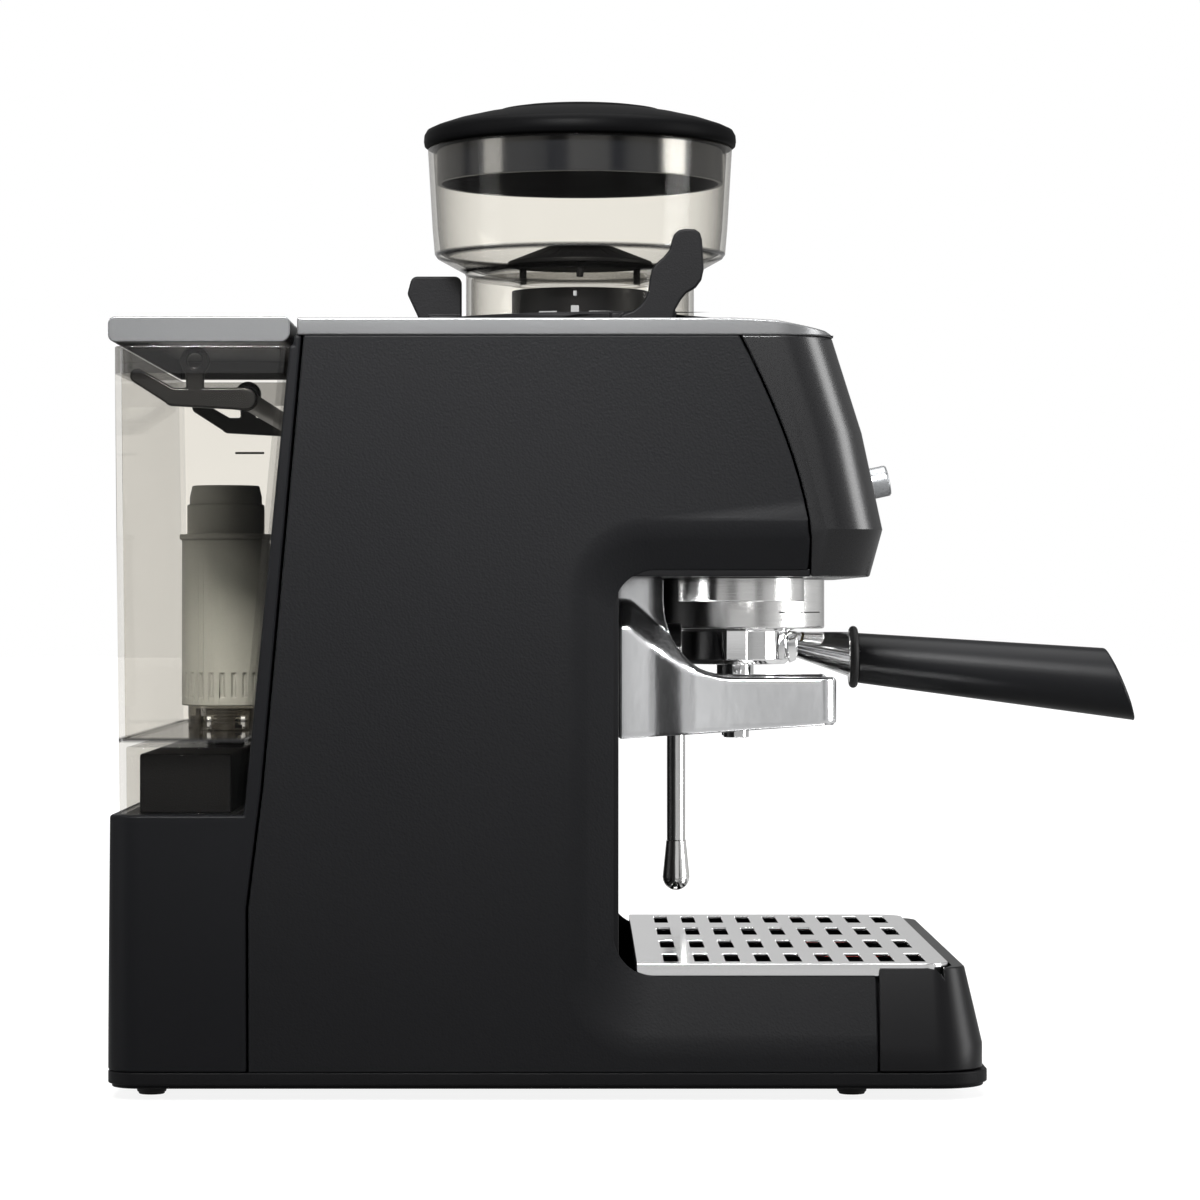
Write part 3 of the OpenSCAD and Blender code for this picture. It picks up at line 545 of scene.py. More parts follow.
BODY_BLACK = Moulded(
    "body_black_grained",
    "body_black",
    (0.0037, 0.0038, 0.0042),
    rough=0.5,
    specular=SHEEN,
    grain_depth=0.00009,
)
SATIN_BLACK = Moulded(
    "satin_black_smooth",
    "satin_black",
    BLACK,
    rough=0.34,
    specular=0.1,
    grain=SMOOTH,
    grain_depth=0.00001,
)
FASCIA_BLACK = Moulded(
    "fascia_black_satin",
    "satin_black",
    (0.004, 0.004, 0.0043),
    rough=0.28,
    specular=0.3,
    grain=SMOOTH,
    grain_depth=0.00001,
)
CHARCOAL = Moulded(
    "charcoal_soft",
    "charcoal",
    (0.0034, 0.0035, 0.004),
    rough=0.44,
    specular=SHEEN,
    grain=1500.0,
    grain_depth=0.00003,
)
TRIM_BLACK = Moulded("trim_black_textured", "body_black", BLACK, rough=0.48, specular=SHEEN, grain=1600.0)
LID_BLACK = Moulded(
    "lid_black_satin",
    "body_black",
    (0.0012, 0.0012, 0.0013),
    rough=0.46,
    specular=0.015,
    grain=SMOOTH,
    grain_depth=0.000004,
)
SKIRT_BLACK = Moulded(
    "lid_skirt_polished",
    "body_black",
    (0.0035, 0.004, 0.0055),
    rough=0.13,
    specular=0.9,
    grain=SMOOTH,
    grain_depth=0.000004,
)
TANK_TRIM = Moulded(
    "tank_trim_black",
    "body_black",
    (0.004, 0.004, 0.0042),
    rough=0.3,
    specular=0.2,
    grain=SMOOTH,
    grain_depth=0.000006,
)
HANDLE_BLACK = Moulded(
    "handle_soft_touch",
    "satin_black",
    (0.0032, 0.0033, 0.0037),
    rough=0.4,
    specular=0.1,
    grain=2200.0,
    grain_depth=0.00002,
)
SILVER = Painted("silver_satin", "silver", (0.09, 0.091, 0.0925))
DIAL_GREY = Painted("dial_grey_satin", "dial_grey", (0.19, 0.195, 0.2), rough=0.3)
STEEL = Metal("steel_brushed", "steel", (0.86, 0.855, 0.845), rough=0.2, brush_depth=0.00002)
STEEL_INNER = Metal("steel_plain", "steel", (0.5, 0.5, 0.5), rough=0.34, brush=Grain.UPRIGHT)
WAND_STEEL = Metal(
    "steel_polished", "steel", (0.84, 0.84, 0.83), rough=0.13, brush=Grain.UPRIGHT, smudge=0.04
)
CHROME = Metal("chrome_polished", "chrome", (0.9, 0.9, 0.9), rough=0.07, brush_depth=0.000002, smudge=0.04)
GRATE_STEEL = Metal("grate_polished", "chrome", (0.9, 0.9, 0.9), rough=0.14, brush=Grain.ACROSS, smudge=0.06)
ALUMINIUM = Cast("aluminium_polished_cast", "cast_aluminium", (0.8, 0.805, 0.815))
SMOKED = Smoked(
    "smoked_clear_plastic",
    "smoked_clear",
    (0.009, 0.0088, 0.0085),
    face=0.045,
    edge=0.75,
    joints=HOPPER_CREASES,
)
SMOKED_TANK = Smoked(
    "smoked_tank_plastic",
    "smoked_clear",
    (0.006, 0.006, 0.0062),
    clear=(0.995, 0.984, 0.96),
    face=0.05,
    falloff=12.0,
    joints=(TANK_FLOOR,),
    dark_above=TANK_BAND,
)
SMOKED_DARK = Smoked(
    "smoked_dark_plastic", "smoked_dark", (0.02, 0.018, 0.015), clear=(0.7, 0.68, 0.62), face=0.5, edge=0.9
)
FILTER_GREY = Moulded(
    "filter_grey_matt", "filter_grey", (0.14, 0.14, 0.126), rough=0.6, specular=0.2, grain=1300.0
)
RUBBER = Moulded(
    "rubber_matt",
    "rubber",
    (0.009, 0.009, 0.009),
    rough=0.62,
    specular=0.2,
    grain=1900.0,
    grain_depth=0.00005,
)
BRASS = Metal("brass_machined", "brass", (0.62, 0.44, 0.2), rough=0.28)
RED = Moulded("float_red", "red_plastic", (0.5, 0.02, 0.015), rough=0.35, grain=1500.0, grain_depth=0.00002)
WHITE = Moulded("nylon_white", "white_plastic", (0.66, 0.66, 0.62), rough=0.5, grain=1200.0)
PRINT_PALE = Moulded(
    "mark_white", "white_plastic", (0.085, 0.085, 0.084), rough=0.55, grain=3000.0, grain_depth=0.00001
)
PRINT_BLACK = Moulded("mark_black", "body_black", (0.01, 0.01, 0.01), rough=0.5, specular=0.2, grain=3000.0)

INNER_FINISHES: dict[str, Finish] = {
    "steel": STEEL_INNER,
    "cast_aluminium": ALUMINIUM,
    "brass": BRASS,
    "white_plastic": WHITE,
    "charcoal": CHARCOAL,
}


# ---- mesh kit -----------------------------------------------------------------------------------


class Form:
    """A mesh in the making, in millimetres, shaped with bmesh operators."""

    def __init__(self) -> None:
        """Starts an empty mesh."""
        self.bm = bmesh.new()

    @classmethod
    def copy_of(cls, node: str) -> "Form":
        """Starts from a CAD node's mesh, merged and with its flat faces made whole.

        Args:
            node: The CAD node.

        Returns:
            The new form.
        """
        form = cls()
        form.bm.from_mesh(frame["nodes"][node].data)
        bmesh.ops.scale(form.bm, vec=(1 / MM,) * 3, verts=form.bm.verts)
        bmesh.ops.remove_doubles(form.bm, verts=form.bm.verts, dist=CAD_MERGE)
        flat = math.radians(CAD_FLAT)
        bmesh.ops.dissolve_limit(form.bm, angle_limit=flat, verts=form.bm.verts, edges=form.bm.edges)
        return form

    def lathe(
        self,
        profile: Sequence[Flat],
        closed: bool = False,
        steps: int = 96,
        sweep: tuple[float, float] = (0.0, 360.0),
    ) -> "Form":
        """Turns a profile of (radius, height) about the Z axis.

        Args:
            profile: Points from the foot up the outside, or round a ring's section.
            closed: Whether the last point joins the first, as in a ring.
            steps: Steps round the turn.
            sweep: First and last angle in degrees; a full turn unless given.

        Returns:
            This form.
        """
        start, end = sweep
        whole = abs(end - start) >= 360.0
        turn = Matrix.Rotation(math.radians(start), 4, "Z")
        verts = [self.bm.verts.new(turn @ Vector((r, 0, z))) for r, z in profile]
        pairs = list(zip(verts, verts[1:])) + ([(verts[-1], verts[0])] if closed else [])
        geometry: list[Any] = verts + [self.bm.edges.new(pair) for pair in pairs]
        if not whole:
            geometry.append(self.bm.faces.new(verts))
        bmesh.ops.spin(
            self.bm,
            geom=geometry,
            cent=(0, 0, 0),
            axis=(0, 0, 1),
            dvec=(0, 0, 0),
            angle=math.radians(end - start),
            steps=steps,
            use_merge=whole,
        )
        self.mend()
        return self

    def band(self, radius: float, depth: Flat, heights: Flat, angles: Flat, steps: int) -> "Form":
        """Wraps a thin bar round an upright wall.

        Args:
            radius: The wall's radius.
            depth: How far the bar sinks in, and how far it stands out.
            heights: Its foot and its top.
            angles: Its two ends in degrees, from the near side.
            steps: Steps between the ends.

        Returns:
            This form.
        """
        inner, outer = radius - depth[0], radius + depth[1]
        foot, top = heights
        start, end = angles
        return self.lathe(
            [(inner, foot), (outer, foot), (outer, top), (inner, top)],
            closed=True,
            steps=steps,
            sweep=(start - 90.0, end - 90.0),
        )

    def block(self, low: Point, high: Point) -> "Form":
        """Adds a box.

        Args:
            low: Its lowest corner.
            high: Its highest corner.

        Returns:
            This form.
        """
        size = Vector(high) - Vector(low)
        centre = (Vector(high) + Vector(low)) / 2
        place = Matrix.Translation(centre) @ Matrix.Diagonal((*size, 1.0))
        bmesh.ops.create_cube(self.bm, size=1.0, matrix=place)
        return self

    def mend(self) -> "Form":
        """Merges doubled points and turns every face outwards.

        Returns:
            This form.
        """
        bmesh.ops.remove_doubles(self.bm, verts=self.bm.verts, dist=OWN_MERGE)
        bmesh.ops.recalc_face_normals(self.bm, faces=self.bm.faces)
        return self

    def shift(self, x: float = 0.0, y: float = 0.0, z: float = 0.0) -> "Form":
        """Moves the whole form."""
        bmesh.ops.translate(self.bm, verts=self.bm.verts, vec=(x, y, z))
        return self

    def turn(self, angle: float, axis: str, centre: Point = (0, 0, 0)) -> "Form":
        """Turns the whole form about an axis through a centre, in degrees."""
        bmesh.ops.rotate(
            self.bm,
            verts=self.bm.verts,
            cent=centre,
            matrix=Matrix.Rotation(math.radians(angle), 3, axis),
        )
        return self

    def soften(
        self, width: float, segments: int = 3, over: float = 32.0, where: Optional[EdgeTest] = None
    ) -> "Form":
        """Rounds the sharp edges.

        Args:
            width: Width of the rounding on each side.
            segments: Facets across the rounding.
            over: Edges whose faces turn by more than this many degrees are rounded.
            where: A further test that an edge has to pass.

        Returns:
            This form.
        """
        limit = math.radians(over)
        chosen = [
            edge
            for edge in self.bm.edges
            if len(edge.link_faces) == 2
            and edge.calc_face_angle(0.0) > limit
            and (where is None or where(edge))
        ]
        if chosen:
            bmesh.ops.bevel(
                self.bm,
                geom=chosen,
                offset=width,
                offset_type="OFFSET",
                affect="EDGES",
                segments=segments,
                profile=0.5,
                material=-1,
                clamp_overlap=False,
            )
        return self

    def piece(self, name: str, finish: Finish, body: str, crease: float = 42.0) -> bpy.types.Object:
        """Finishes the form as a piece of the machine.

        Args:
            name: The piece's name.
            finish: What it is dressed in.
            body: The CAD body that it rides on.
            crease: Edges sharper than this many degrees stay sharp in the shading.

        Returns:
            The finished object.
        """
        bmesh.ops.scale(self.bm, vec=(MM,) * 3, verts=self.bm.verts)
        mesh = bpy.data.meshes.new(name)
        self.bm.to_mesh(mesh)
        self.bm.free()
        mesh.polygons.foreach_set("use_smooth", [True] * len(mesh.polygons))
        mesh.set_sharp_from_angle(angle=math.radians(crease))
        made = bpy.data.objects.new(name, mesh)
        bpy.context.scene.collection.objects.link(made)
        made.data.materials.append(finish.material())
        weigh = made.modifiers.new("even_shading", "WEIGHTED_NORMAL")
        weigh.keep_sharp = True
        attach(made, body)
        LOG.info("%s: %d faces on %s", name, len(mesh.polygons), body)
        return made


# ---- sub-assemblies -----------------------------------------------------------------------------


class Assembly:
    """Common ways to dress and replace the CAD nodes of one sub-assembly."""

    def keep(self, node: str, finish: Finish) -> None:
        """Dresses a CAD node as it is.

        Args:
            node: The CAD node.
            finish: What it is dressed in.
        """
        data = frame["nodes"][node].data
        data.materials.clear()
        data.materials.append(finish.material())
        LOG.info("%s: kept, in %s", node, finish.name)

    def keep_inner(self, nodes: Sequence[str]) -> None:
        """Dresses the parts inside the machine as they are, each in its slot's finish."""
        for node in nodes:
            self.keep(node, INNER_FINISHES[SLOT_OF[node]])

    def rounded(
        self,
        node: str,
        finish: Finish,
        width: float,
        segments: int = 3,
        over: float = 32.0,
    ) -> bpy.types.Object:
        """Replaces a CAD node by the same shape with rounded edges.

        Args:
            node: The CAD node.
            finish: What the new piece is dressed in.
            width: Width of the rounding.
            segments: Facets across the rounding.
            over: Sharpest turn, in degrees, that is left alone.

        Returns:
            The new piece.
        """
        form = Form.copy_of(node).soften(width, segments, over)
        return self.stand_in(form, node, finish)

    def stand_in(self, form: Form, node: str, finish: Finish, crease: float = 42.0) -> bpy.types.Object:
        """Finishes a form that stands for a CAD node.

        Args:
            form: The shape, in millimetres.
            node: The CAD node, which names the piece and its body.
            finish: What the piece is dressed in.
            crease: Edges sharper than this many degrees stay sharp in the shading.

        Returns:
            The new piece.
        """
        made = form.piece(f"{node}_formed", finish, BODY_OF[node], crease)
        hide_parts(node)
        return made

    def build(self) -> None:
        """Builds and dresses the sub-assembly."""
        raise NotImplementedError


@dataclass
class Casing(Assembly):
    """Panels, plates, feet and what is sealed inside."""

    half_width: float = 145.0
    edge: float = 0.8
    ramp_edge: float = 5.0
    flush: float = 0.02
    hidden: tuple[str, ...] = ("inner_chassis", "boiler", "water_pump", "group_head", "base_screws")

    def ramp_rim(self, edge: bmesh.types.BMEdge) -> bool:
        """Tells whether an edge runs where the flat side turns into the ramp round the cup space.

        Args:
            edge: An edge of the side panel.

        Returns:
            True on the ramp's outer rim.
        """
        on_side = all(abs(abs(vert.co.y) - self.half_width) < self.flush for vert in edge.verts)
        slopes = [abs(face.normal.y) for face in edge.link_faces]
        return on_side and max(slopes) > 0.999 and 0.5 < min(slopes) < 0.99

    def side_panel(self, node: str) -> None:
        """Rounds a side panel's ramp widely and its other edges finely.

        Args:
            node: The panel's CAD node.
        """
        form = Form.copy_of(node)
        form.soften(self.ramp_edge, 6, 5.0, self.ramp_rim)
        form.soften(self.edge, 2, 50.0)
        self.stand_in(form, node, BODY_BLACK)

    def build(self) -> None:
        """Builds the casing."""
        self.side_panel("left_side_panel")
        self.side_panel("right_side_panel")
        self.rounded("rear_housing", CHARCOAL, 1.2)
        self.rounded("front_fascia", FASCIA_BLACK, 0.8, over=40.0)
        self.rounded("top_plate", SILVER, 0.8)
        self.rounded("base_plate", TRIM_BLACK, 0.5)
        self.rounded("rubber_feet", RUBBER, 0.5)
        self.rounded("column_panel", SATIN_BLACK, 0.4)
        self.rounded("head_floor", SATIN_BLACK, 0.4)
        self.rounded("cord_inlet", TRIM_BLACK, 0.4)
        self.keep_inner(self.hidden)


@dataclass
class WaterTank(Assembly):
    """Smoked tank with its lid, handle, filter and valve."""

    mark_low: Point = (-187.5, 143.0, 269.0)
    mark_high: Point = (-174.0, 143.25, 270.0)
    valve_travel: float = 0.003

    def spring(self) -> None:
        """Copies the valve's spring as a piece with a mesh of its own."""
        made = self.stand_in(Form.copy_of("valve_spring"), "valve_spring", STEEL_INNER)
        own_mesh(made)

    def build(self) -> None:
        """Builds the tank and what it holds."""
        self.rounded("water_tank", SMOKED_TANK, 0.5)
        self.rounded("tank_lid", SILVER, 0.6)
        self.rounded("tank_handle", TANK_TRIM, 0.9)
        self.rounded("tank_plinth", TRIM_BLACK, 1.0)
        self.rounded("filter_body", FILTER_GREY, 0.6)
        self.rounded("filter_holder", SMOKED_DARK, 0.4)
        self.keep("valve_body", TRIM_BLACK)
        self.keep("valve_poppet", STEEL_INNER)
        self.spring()
        self.keep("lid_hinge_pins", STEEL_INNER)
        line = Form().block(self.mark_low, self.mark_high).soften(0.08, 1)
        line.piece("tank_level_line", PRINT_BLACK, "tank")


@dataclass
class Hopper(Assembly):
    """Clear bean hopper with its lid, guard and marks."""

    axis: Flat = (-26.5, -45.0)
    neck_r: float = 48.2
    bowl_r: float = 64.3
    lid_r: float = 66.0
    wall: float = 2.2
    foot: float = 301.0
    rim: float = 391.0
    crown: float = 409.2
    round_steps: int = 128
    lug_angles: tuple[float, ...] = (60.0, 180.0, 300.0)
    lug_half: float = 4.0
    lug_depth: Flat = (0.3, 1.4)
    lug_span: Flat = (303.0, 306.0)
    skirt_r: float = 60.4
    skirt_wall: float = 2.0
    skirt_span: Flat = (376.3, 391.6)
    mark_depth: Flat = (0.05, 0.12)
    mark_spans: tuple[tuple[float, float, float, float], ...] = (
        (-20.5, -11.4, 318.2, 319.8),
        (4.4, 16.4, 318.2, 319.8),
        (-4.4, -0.5, 318.4, 322.0),
        (-3.2, -1.6, 326.0, 328.0),
    )

    def bowl(self) -> None:
        """Turns the bowl: neck, flare, tall wall and the funnel inside."""
        neck, wall = self.neck_r, self.wall
        form = Form().lathe(
            [
                (neck - wall, self.foot),
                (neck, self.foot),
                (neck, 337.4),
                (neck + 0.6, 338.7),
                (60.2, 345.0),
                (61.4, 346.6),
                (62.3, 357),
                (self.bowl_r, self.rim),
                (self.bowl_r - wall, self.rim),
                (60.1, 357),
                (59.0, 347.0),
                (neck - 1.8, 340.0),
                (25.5, 334.6),
                (25.5, 333),
                (neck - wall, 336.2),
            ],
            closed=True,
            steps=self.round_steps,
        )
        form.soften(0.5, 3, 40.0)
        low, high = self.lug_span
        sunk, proud = self.lug_depth
        for angle in self.lug_angles:
            lug = Form().block((neck - sunk, -self.lug_half, low), (neck + proud, self.lug_half, high))
            lug.turn(angle, "Z").mend()
            mesh = bpy.data.meshes.new("lug")
            lug.bm.to_mesh(mesh)
            form.bm.from_mesh(mesh)
            bpy.data.meshes.remove(mesh)
        form.shift(*self.axis)
        self.stand_in(form, "hopper_bowl", SMOKED)

    def lid(self) -> None:
        """Turns the lid: rounded rim, shallow dome, raised middle and nub, with a skirt below."""
        r = self.lid_r
        cap = Form().lathe(
            [
                (0, 391.3),
                (r - 1.6, 391.3),
                (r - 0.3, 392.4),
                (r, 394.2),
                (r - 0.2, 396.6),
                (r - 1.3, 398.6),
                (r - 4.5, 400.1),
                (54, 402.6),
                (44, 405.0),
                (35.2, 406.5),
                (34.2, 407.3),
                (30, 408.0),
                (18, 408.8),
                (2.4, self.crown),
                (2.0, self.crown + 0.7),
                (0, self.crown + 0.8),
            ],
            steps=self.round_steps,
        )
        top = max(vert.co.z for vert in cap.bm.verts)
        cap.shift(z=min(0.0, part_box("hopper_lid")[1].z / MM - top))
        cap.shift(*self.axis)
        self.stand_in(cap, "hopper_lid", LID_BLACK)
        inner, outer = self.skirt_r - self.skirt_wall, self.skirt_r
        low, high = self.skirt_span
        section = [(inner, low), (outer, low), (outer, high), (inner, high)]
        skirt = Form().lathe(section, closed=True, steps=self.round_steps)
        skirt.soften(0.4, 2, 40.0).shift(*self.axis)
        skirt.piece("hopper_lid_skirt", SKIRT_BLACK, "hopper_lid")

    def marks(self) -> None:
        """Prints generic bars and a pointer on the neck's near side."""
        for count, (start, end, low, high) in enumerate(self.mark_spans):
            mark = Form().band(self.neck_r, self.mark_depth, (low, high), (start, end), steps=10)
            mark.shift(*self.axis)
            mark.piece(f"neck_mark_{count + 1}", PRINT_PALE, "hopper")

    def build(self) -> None:
        """Builds the hopper."""
        self.bowl()
        self.lid()
        self.marks()
        self.rounded("bean_guard", TRIM_BLACK, 0.5)


@dataclass
class Grinder(Assembly):
    """Grind ring, burrs, drive, outlet and the cradle below it.

    The cradle's sides flare out between flare_start and flare_end. Above the crease, given as (x, z)
    points, they turn in by facet_slope, up to facet. Both are nothing at slot_half from the middle.
    """

    flare: float = 8.0
    flare_start: float = 1.0
    flare_end: float = 21.0
    facet: float = 9.0
    facet_slope: float = 0.9
    slot_half: float = 27.5
    cell: float = 1.7
    crease: tuple[Flat, ...] = ((-5.8, 189.7), (3.3, 182.1), (12.0, 175.1), (23.3, 170.4), (33.7, 168.7))
    inner: tuple[str, ...] = (
        "burr_carrier",
        "ring_burr",
        "cone_burr",
        "burr_shaft",
        "dose_impeller",
        "burr_gear",
        "grinder_housing",
        "gearbox",
        "grinder_bracket",
        "motor_can",
        "motor_rotor",
    )

    def facet_line(self, x: float) -> float:
        """Follows the crease where the cradle's sides turn in towards its upper block.

        Args:
            x: Place along the machine.

        Returns:
            The crease's height there.
        """
        points = self.crease
        for (x_low, z_low), (x_high, z_high) in zip(points, points[1:]):
            if x <= x_high:
                return z_low + (z_high - z_low) * (max(x, x_low) - x_low) / (x_high - x_low)
        return points[-1][1]

    def cradle(self) -> None:
        """Shapes the cradle: flared sides, and a facet up to the narrow upper block."""
        form = Form.copy_of("portafilter_cradle").soften(1.6, 4, 40.0)
        low, high = (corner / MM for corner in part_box("portafilter_cradle"))
        for axis, start, end in ((0, low.x, self.crease[-1][0]), (2, low.z, high.z)):
            for cut in range(1, int((end - start) / self.cell)):
                centre, way = Vector(), Vector()
                centre[axis] = start + cut * self.cell
                way[axis] = 1.0
                everything = [*form.bm.verts, *form.bm.edges, *form.bm.faces]
                bmesh.ops.bisect_plane(form.bm, geom=everything, dist=0.001, plane_co=centre, plane_no=way)
        middle, half = (low.y + high.y) / 2, (high.y - low.y) / 2
        for vert in form.bm.verts:
            out = abs(vert.co.y - middle)
            if out <= self.slot_half:
                continue
            share = (self.flare_end - vert.co.x) / (self.flare_end - self.flare_start)
            share = min(1.0, max(0.0, share))
            inward = self.flare * share * share * (3 - 2 * share)
            rise = max(0.0, vert.co.z - self.facet_line(vert.co.x))
            inward += min(self.facet, self.facet_slope * rise)
            inward *= (out - self.slot_half) / (half - self.slot_half)
            vert.co.y -= math.copysign(inward, vert.co.y - middle)
        self.stand_in(form, "portafilter_cradle", ALUMINIUM, crease=60.0)

    def build(self) -> None:
        """Builds the grinder."""
        self.rounded("grind_ring", TRIM_BLACK, 0.9, over=50.0)
        self.rounded("grinder_collar", TRIM_BLACK, 0.5)
        self.keep_inner(self.inner)
        self.rounded("outlet_collar", STEEL, 0.5)
        self.cradle()
        self.rounded("grind_switch", SATIN_BLACK, 0.6)


@dataclass
class BrewGroup(Assembly):
    """Group ring with its alignment line."""

    axis: Flat = (41.5, 20.0)
    radius: float = 39.0
    line: Flat = (195.15, 195.65)
    line_depth: Flat = (0.05, 0.08)
    dashes: tuple[Flat, ...] = ((27.0, 32.0), (34.0, 39.0), (41.0, 46.0), (48.0, 68.0))

    def build(self) -> None:
        """Builds the group."""
        self.rounded("group_ring", STEEL, 0.4)
        for count, span in enumerate(self.dashes):
            dash = Form().band(self.radius, self.line_depth, self.line, span, steps=12)
            dash.shift(*self.axis)
            dash.piece(f"group_dash_{count + 1}", PRINT_BLACK, "machine")


@dataclass
class Portafilter(Assembly):
    """Portafilter bowl, basket, spouts, neck and handle, with a dark ring where the grip starts."""

    ring_r: float = 11.7
    ring_tube: float = 1.9
    ring_at: Point = (93.2, 20.0, 175.8)
    tube_steps: int = 16
    ring_steps: int = 72

    def grip_ring(self) -> None:
        """Turns the dark ring between the neck and the handle."""
        section = [
            (self.ring_r + self.ring_tube * math.cos(angle), self.ring_tube * math.sin(angle))
            for angle in (math.tau * step / self.tube_steps for step in range(self.tube_steps))
        ]
        ring = Form().lathe(section, closed=True, steps=self.ring_steps)
        ring.turn(90.0, "Y").shift(*self.ring_at)
        ring.piece("grip_ring", RUBBER, "portafilter")

    def build(self) -> None:
        """Builds the portafilter."""
        self.grip_ring()
        self.rounded("portafilter", CHROME, 0.5)
        self.rounded("double_spout", CHROME, 0.4, over=50.0)
        self.rounded("handle_neck", CHROME, 0.4, over=50.0)
        self.keep("filter_basket", STEEL_INNER)
        self.rounded("portafilter_handle", HANDLE_BLACK, 0.8, over=50.0)


@dataclass
class SteamWand(Assembly):
    """Swivel nut and steam tube."""

    def build(self) -> None:
        """Builds the wand."""
        self.rounded("wand_nut", STEEL, 0.5, over=50.0)
        self.rounded("steam_tube", WAND_STEEL, 0.3, over=50.0)


@dataclass
class DripTray(Assembly):
    """Tray, grate and float."""

    def build(self) -> None:
        """Builds the tray."""
        self.rounded("drip_tray", SATIN_BLACK, 0.7, over=40.0)
        self.rounded("drip_grate", GRATE_STEEL, 0.3, 2)
        self.rounded("tray_float", RED, 0.8)


@dataclass
class Controls(Assembly):
    """Dial and push buttons on the fascia."""

    buttons: tuple[str, ...] = ("power_button", "single_shot_button", "double_shot_button", "steam_button")

    def build(self) -> None:
        """Builds the controls."""
        self.rounded("control_dial", DIAL_GREY, 0.5)
        for node in self.buttons:
            self.rounded(node, WAND_STEEL, 0.6)


# ---- studio -------------------------------------------------------------------------------------


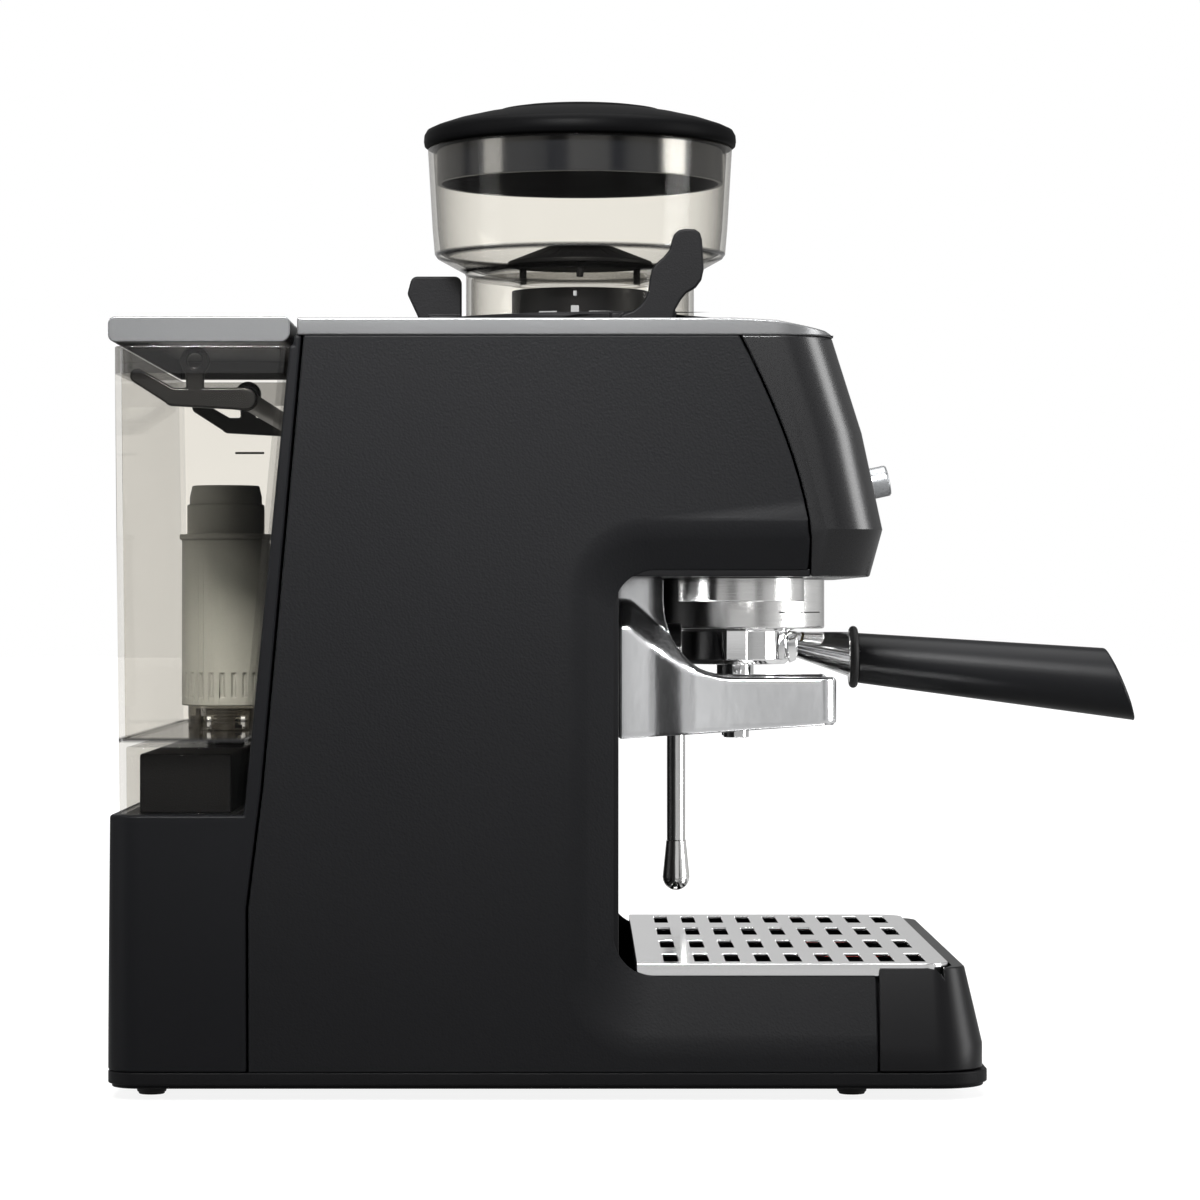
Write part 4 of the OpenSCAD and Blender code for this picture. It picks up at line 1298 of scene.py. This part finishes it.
@dataclass
class Studio:
    """Pale floor, soft light and the camera.

    Each of the bands is a bearing round the machine, from 0 to 1 with 0.5 towards the camera, and
    its brightness in reflections. The floor's glow fades up with distance to meet the surround.
    """

    camera_at: Point = (-0.0265, -1.850, 0.199)
    lens: float = 128.0
    sensor: float = 36.0
    shift: Flat = (0.0167, 0.0033)
    clip: Flat = (0.05, 60.0)
    floor_size: float = 14.0
    floor_grey: float = 0.12
    floor_glow: float = 0.38
    floor_seen: float = 0.5
    floor_far: float = 0.22
    fade_from: float = 0.25
    fade_slope: float = 1.2
    surround: float = 0.82
    zenith_drop: float = 0.55
    middle: Point = (0.0, 0.0, 0.2)
    bands: tuple[Flat, ...] = (
        (0.0, 0.95),
        (0.1, 0.95),
        (0.19, 0.9),
        (0.215, 0.12),
        (0.24, 0.85),
        (0.38, 0.75),
        (0.42, 0.5),
        (0.435, 0.1),
        (0.468, 0.14),
        (0.482, 1.0),
        (0.56, 1.0),
        (0.575, 0.1),
        (0.59, 0.12),
        (0.615, 0.8),
        (0.66, 0.95),
        (0.68, 0.12),
        (0.715, 1.0),
        (0.86, 0.9),
        (0.93, 0.4),
        (1.0, 0.95),
    )

    def camera(self) -> None:
        """Sets the camera level, looking along +Y."""
        data = bpy.data.cameras.new("camera")
        data.sensor_width = self.sensor
        data.lens = self.lens
        data.shift_x, data.shift_y = self.shift
        data.clip_start, data.clip_end = self.clip
        made = bpy.data.objects.new("camera", data)
        made.location = self.camera_at
        made.rotation_euler = (math.radians(90.0), 0.0, 0.0)
        bpy.context.scene.collection.objects.link(made)
        bpy.context.scene.camera = made

    def floor(self) -> None:
        """Lays a pale floor that brightens into the surround behind the machine."""
        bm = bmesh.new()
        bmesh.ops.create_grid(bm, x_segments=1, y_segments=1, size=self.floor_size)
        mesh = bpy.data.meshes.new("floor")
        bm.to_mesh(mesh)
        bm.free()
        made = bpy.data.objects.new("floor", mesh)
        bpy.context.scene.collection.objects.link(made)
        board = NodeBoard("floor_pale")
        where = board.node("ShaderNodeVectorMath", {"operation": "LENGTH"}, {0: board.place()})
        far = Value(board.tree, where.outputs["Value"])
        fade = ((far - self.fade_from) * self.fade_slope).at_least(0.0).at_most(1.0)
        seen = Value(board.tree, board.node("ShaderNodeLightPath").outputs["Is Camera Ray"])
        strength = seen * (fade * self.floor_far + self.floor_seen) + self.floor_glow
        glow = board.node("ShaderNodeEmission", sockets={"Strength": strength})
        grey = (self.floor_grey,) * 3
        matt = board.node("ShaderNodeBsdfDiffuse", sockets={"Color": (*grey, 1.0)})
        both = board.node("ShaderNodeAddShader", sockets={0: glow.outputs[0], 1: matt.outputs[0]})
        board.node("ShaderNodeOutputMaterial", sockets={"Surface": both.outputs[0]})
        mesh.materials.append(board.material)

    def world(self) -> None:
        """Sets a white surround to look at, and a soft light with bright and dark bands for the metal."""
        world = bpy.data.worlds.new("surround")
        bpy.context.scene.world = world
        board = NodeBoard("surround", world)
        where = board.node("ShaderNodeTexCoord").outputs["Generated"]
        split = board.node("ShaderNodeSeparateXYZ", sockets={0: where})
        across, along, up = (Value(board.tree, socket) for socket in split.outputs)
        azimuth = across.maths("ARCTAN2", along * -1.0) * (0.5 / math.pi) + 0.5
        bands = board.node("ShaderNodeValToRGB", {"stops": self.bands}, {0: azimuth})
        level = Value(board.tree, bands.outputs["Color"])
        lift = (1.0 - up.at_least(0.0) * self.zenith_drop) * self.surround
        soft = board.node("ShaderNodeBackground", sockets={"Strength": level * lift})
        seen = board.node("ShaderNodeBackground", sockets={"Strength": 1.0, "Color": (1, 1, 1, 1)})
        path = board.node("ShaderNodeLightPath")
        mix = board.node(
            "ShaderNodeMixShader",
            sockets={0: path.outputs["Is Camera Ray"], 1: soft.outputs[0], 2: seen.outputs[0]},
        )
        board.node("ShaderNodeOutputWorld", sockets={"Surface": mix.outputs[0]})

    def softbox(
        self, name: str, at: Point, aim: Point, size: Flat, power: float, spread: float = 180.0
    ) -> None:
        """Hangs one soft area light.

        Args:
            name: The light's name.
            at: Where it hangs.
            aim: The point that it faces.
            size: Its width and height.
            power: Its power in watts.
            spread: Width of its beam in degrees.
        """
        data = bpy.data.lights.new(name, "AREA")
        data.shape = "RECTANGLE"
        data.size, data.size_y = size
        data.energy = power
        data.spread = math.radians(spread)
        made = bpy.data.objects.new(name, data)
        made.location = at
        made.rotation_euler = (Vector(aim) - Vector(at)).to_track_quat("-Z", "Y").to_euler()
        bpy.context.scene.collection.objects.link(made)

    def build(self) -> None:
        """Sets up the studio."""
        self.camera()
        self.floor()
        self.world()
        self.softbox("overhead", (0.05, 0.0, 1.6), self.middle, (1.4, 1.2), 30.0)
        self.softbox("key", (-0.25, -1.5, 1.3), (-0.05, -0.145, 0.42), (0.6, 0.4), 6.0, spread=30.0)
        self.softbox("left_strip", (-1.5, -0.5, 0.7), self.middle, (0.5, 1.6), 10.0)
        self.softbox("right_strip", (1.5, -0.3, 0.5), self.middle, (0.6, 1.3), 36.0)
        bpy.context.scene.view_settings.view_transform = "Standard"


def main() -> None:
    """Builds the studio and every sub-assembly in order."""
    logging.basicConfig(level=logging.INFO, format="%(name)s %(message)s", stream=sys.stdout)
    Studio().build()
    parts: Iterable[Assembly] = (
        Casing(),
        WaterTank(),
        Hopper(),
        Grinder(),
        BrewGroup(),
        Portafilter(),
        SteamWand(),
        DripTray(),
        Controls(),
    )
    for part in parts:
        LOG.info("building %s", type(part).__name__)
        part.build()


if __name__ == "__main__":
    main()
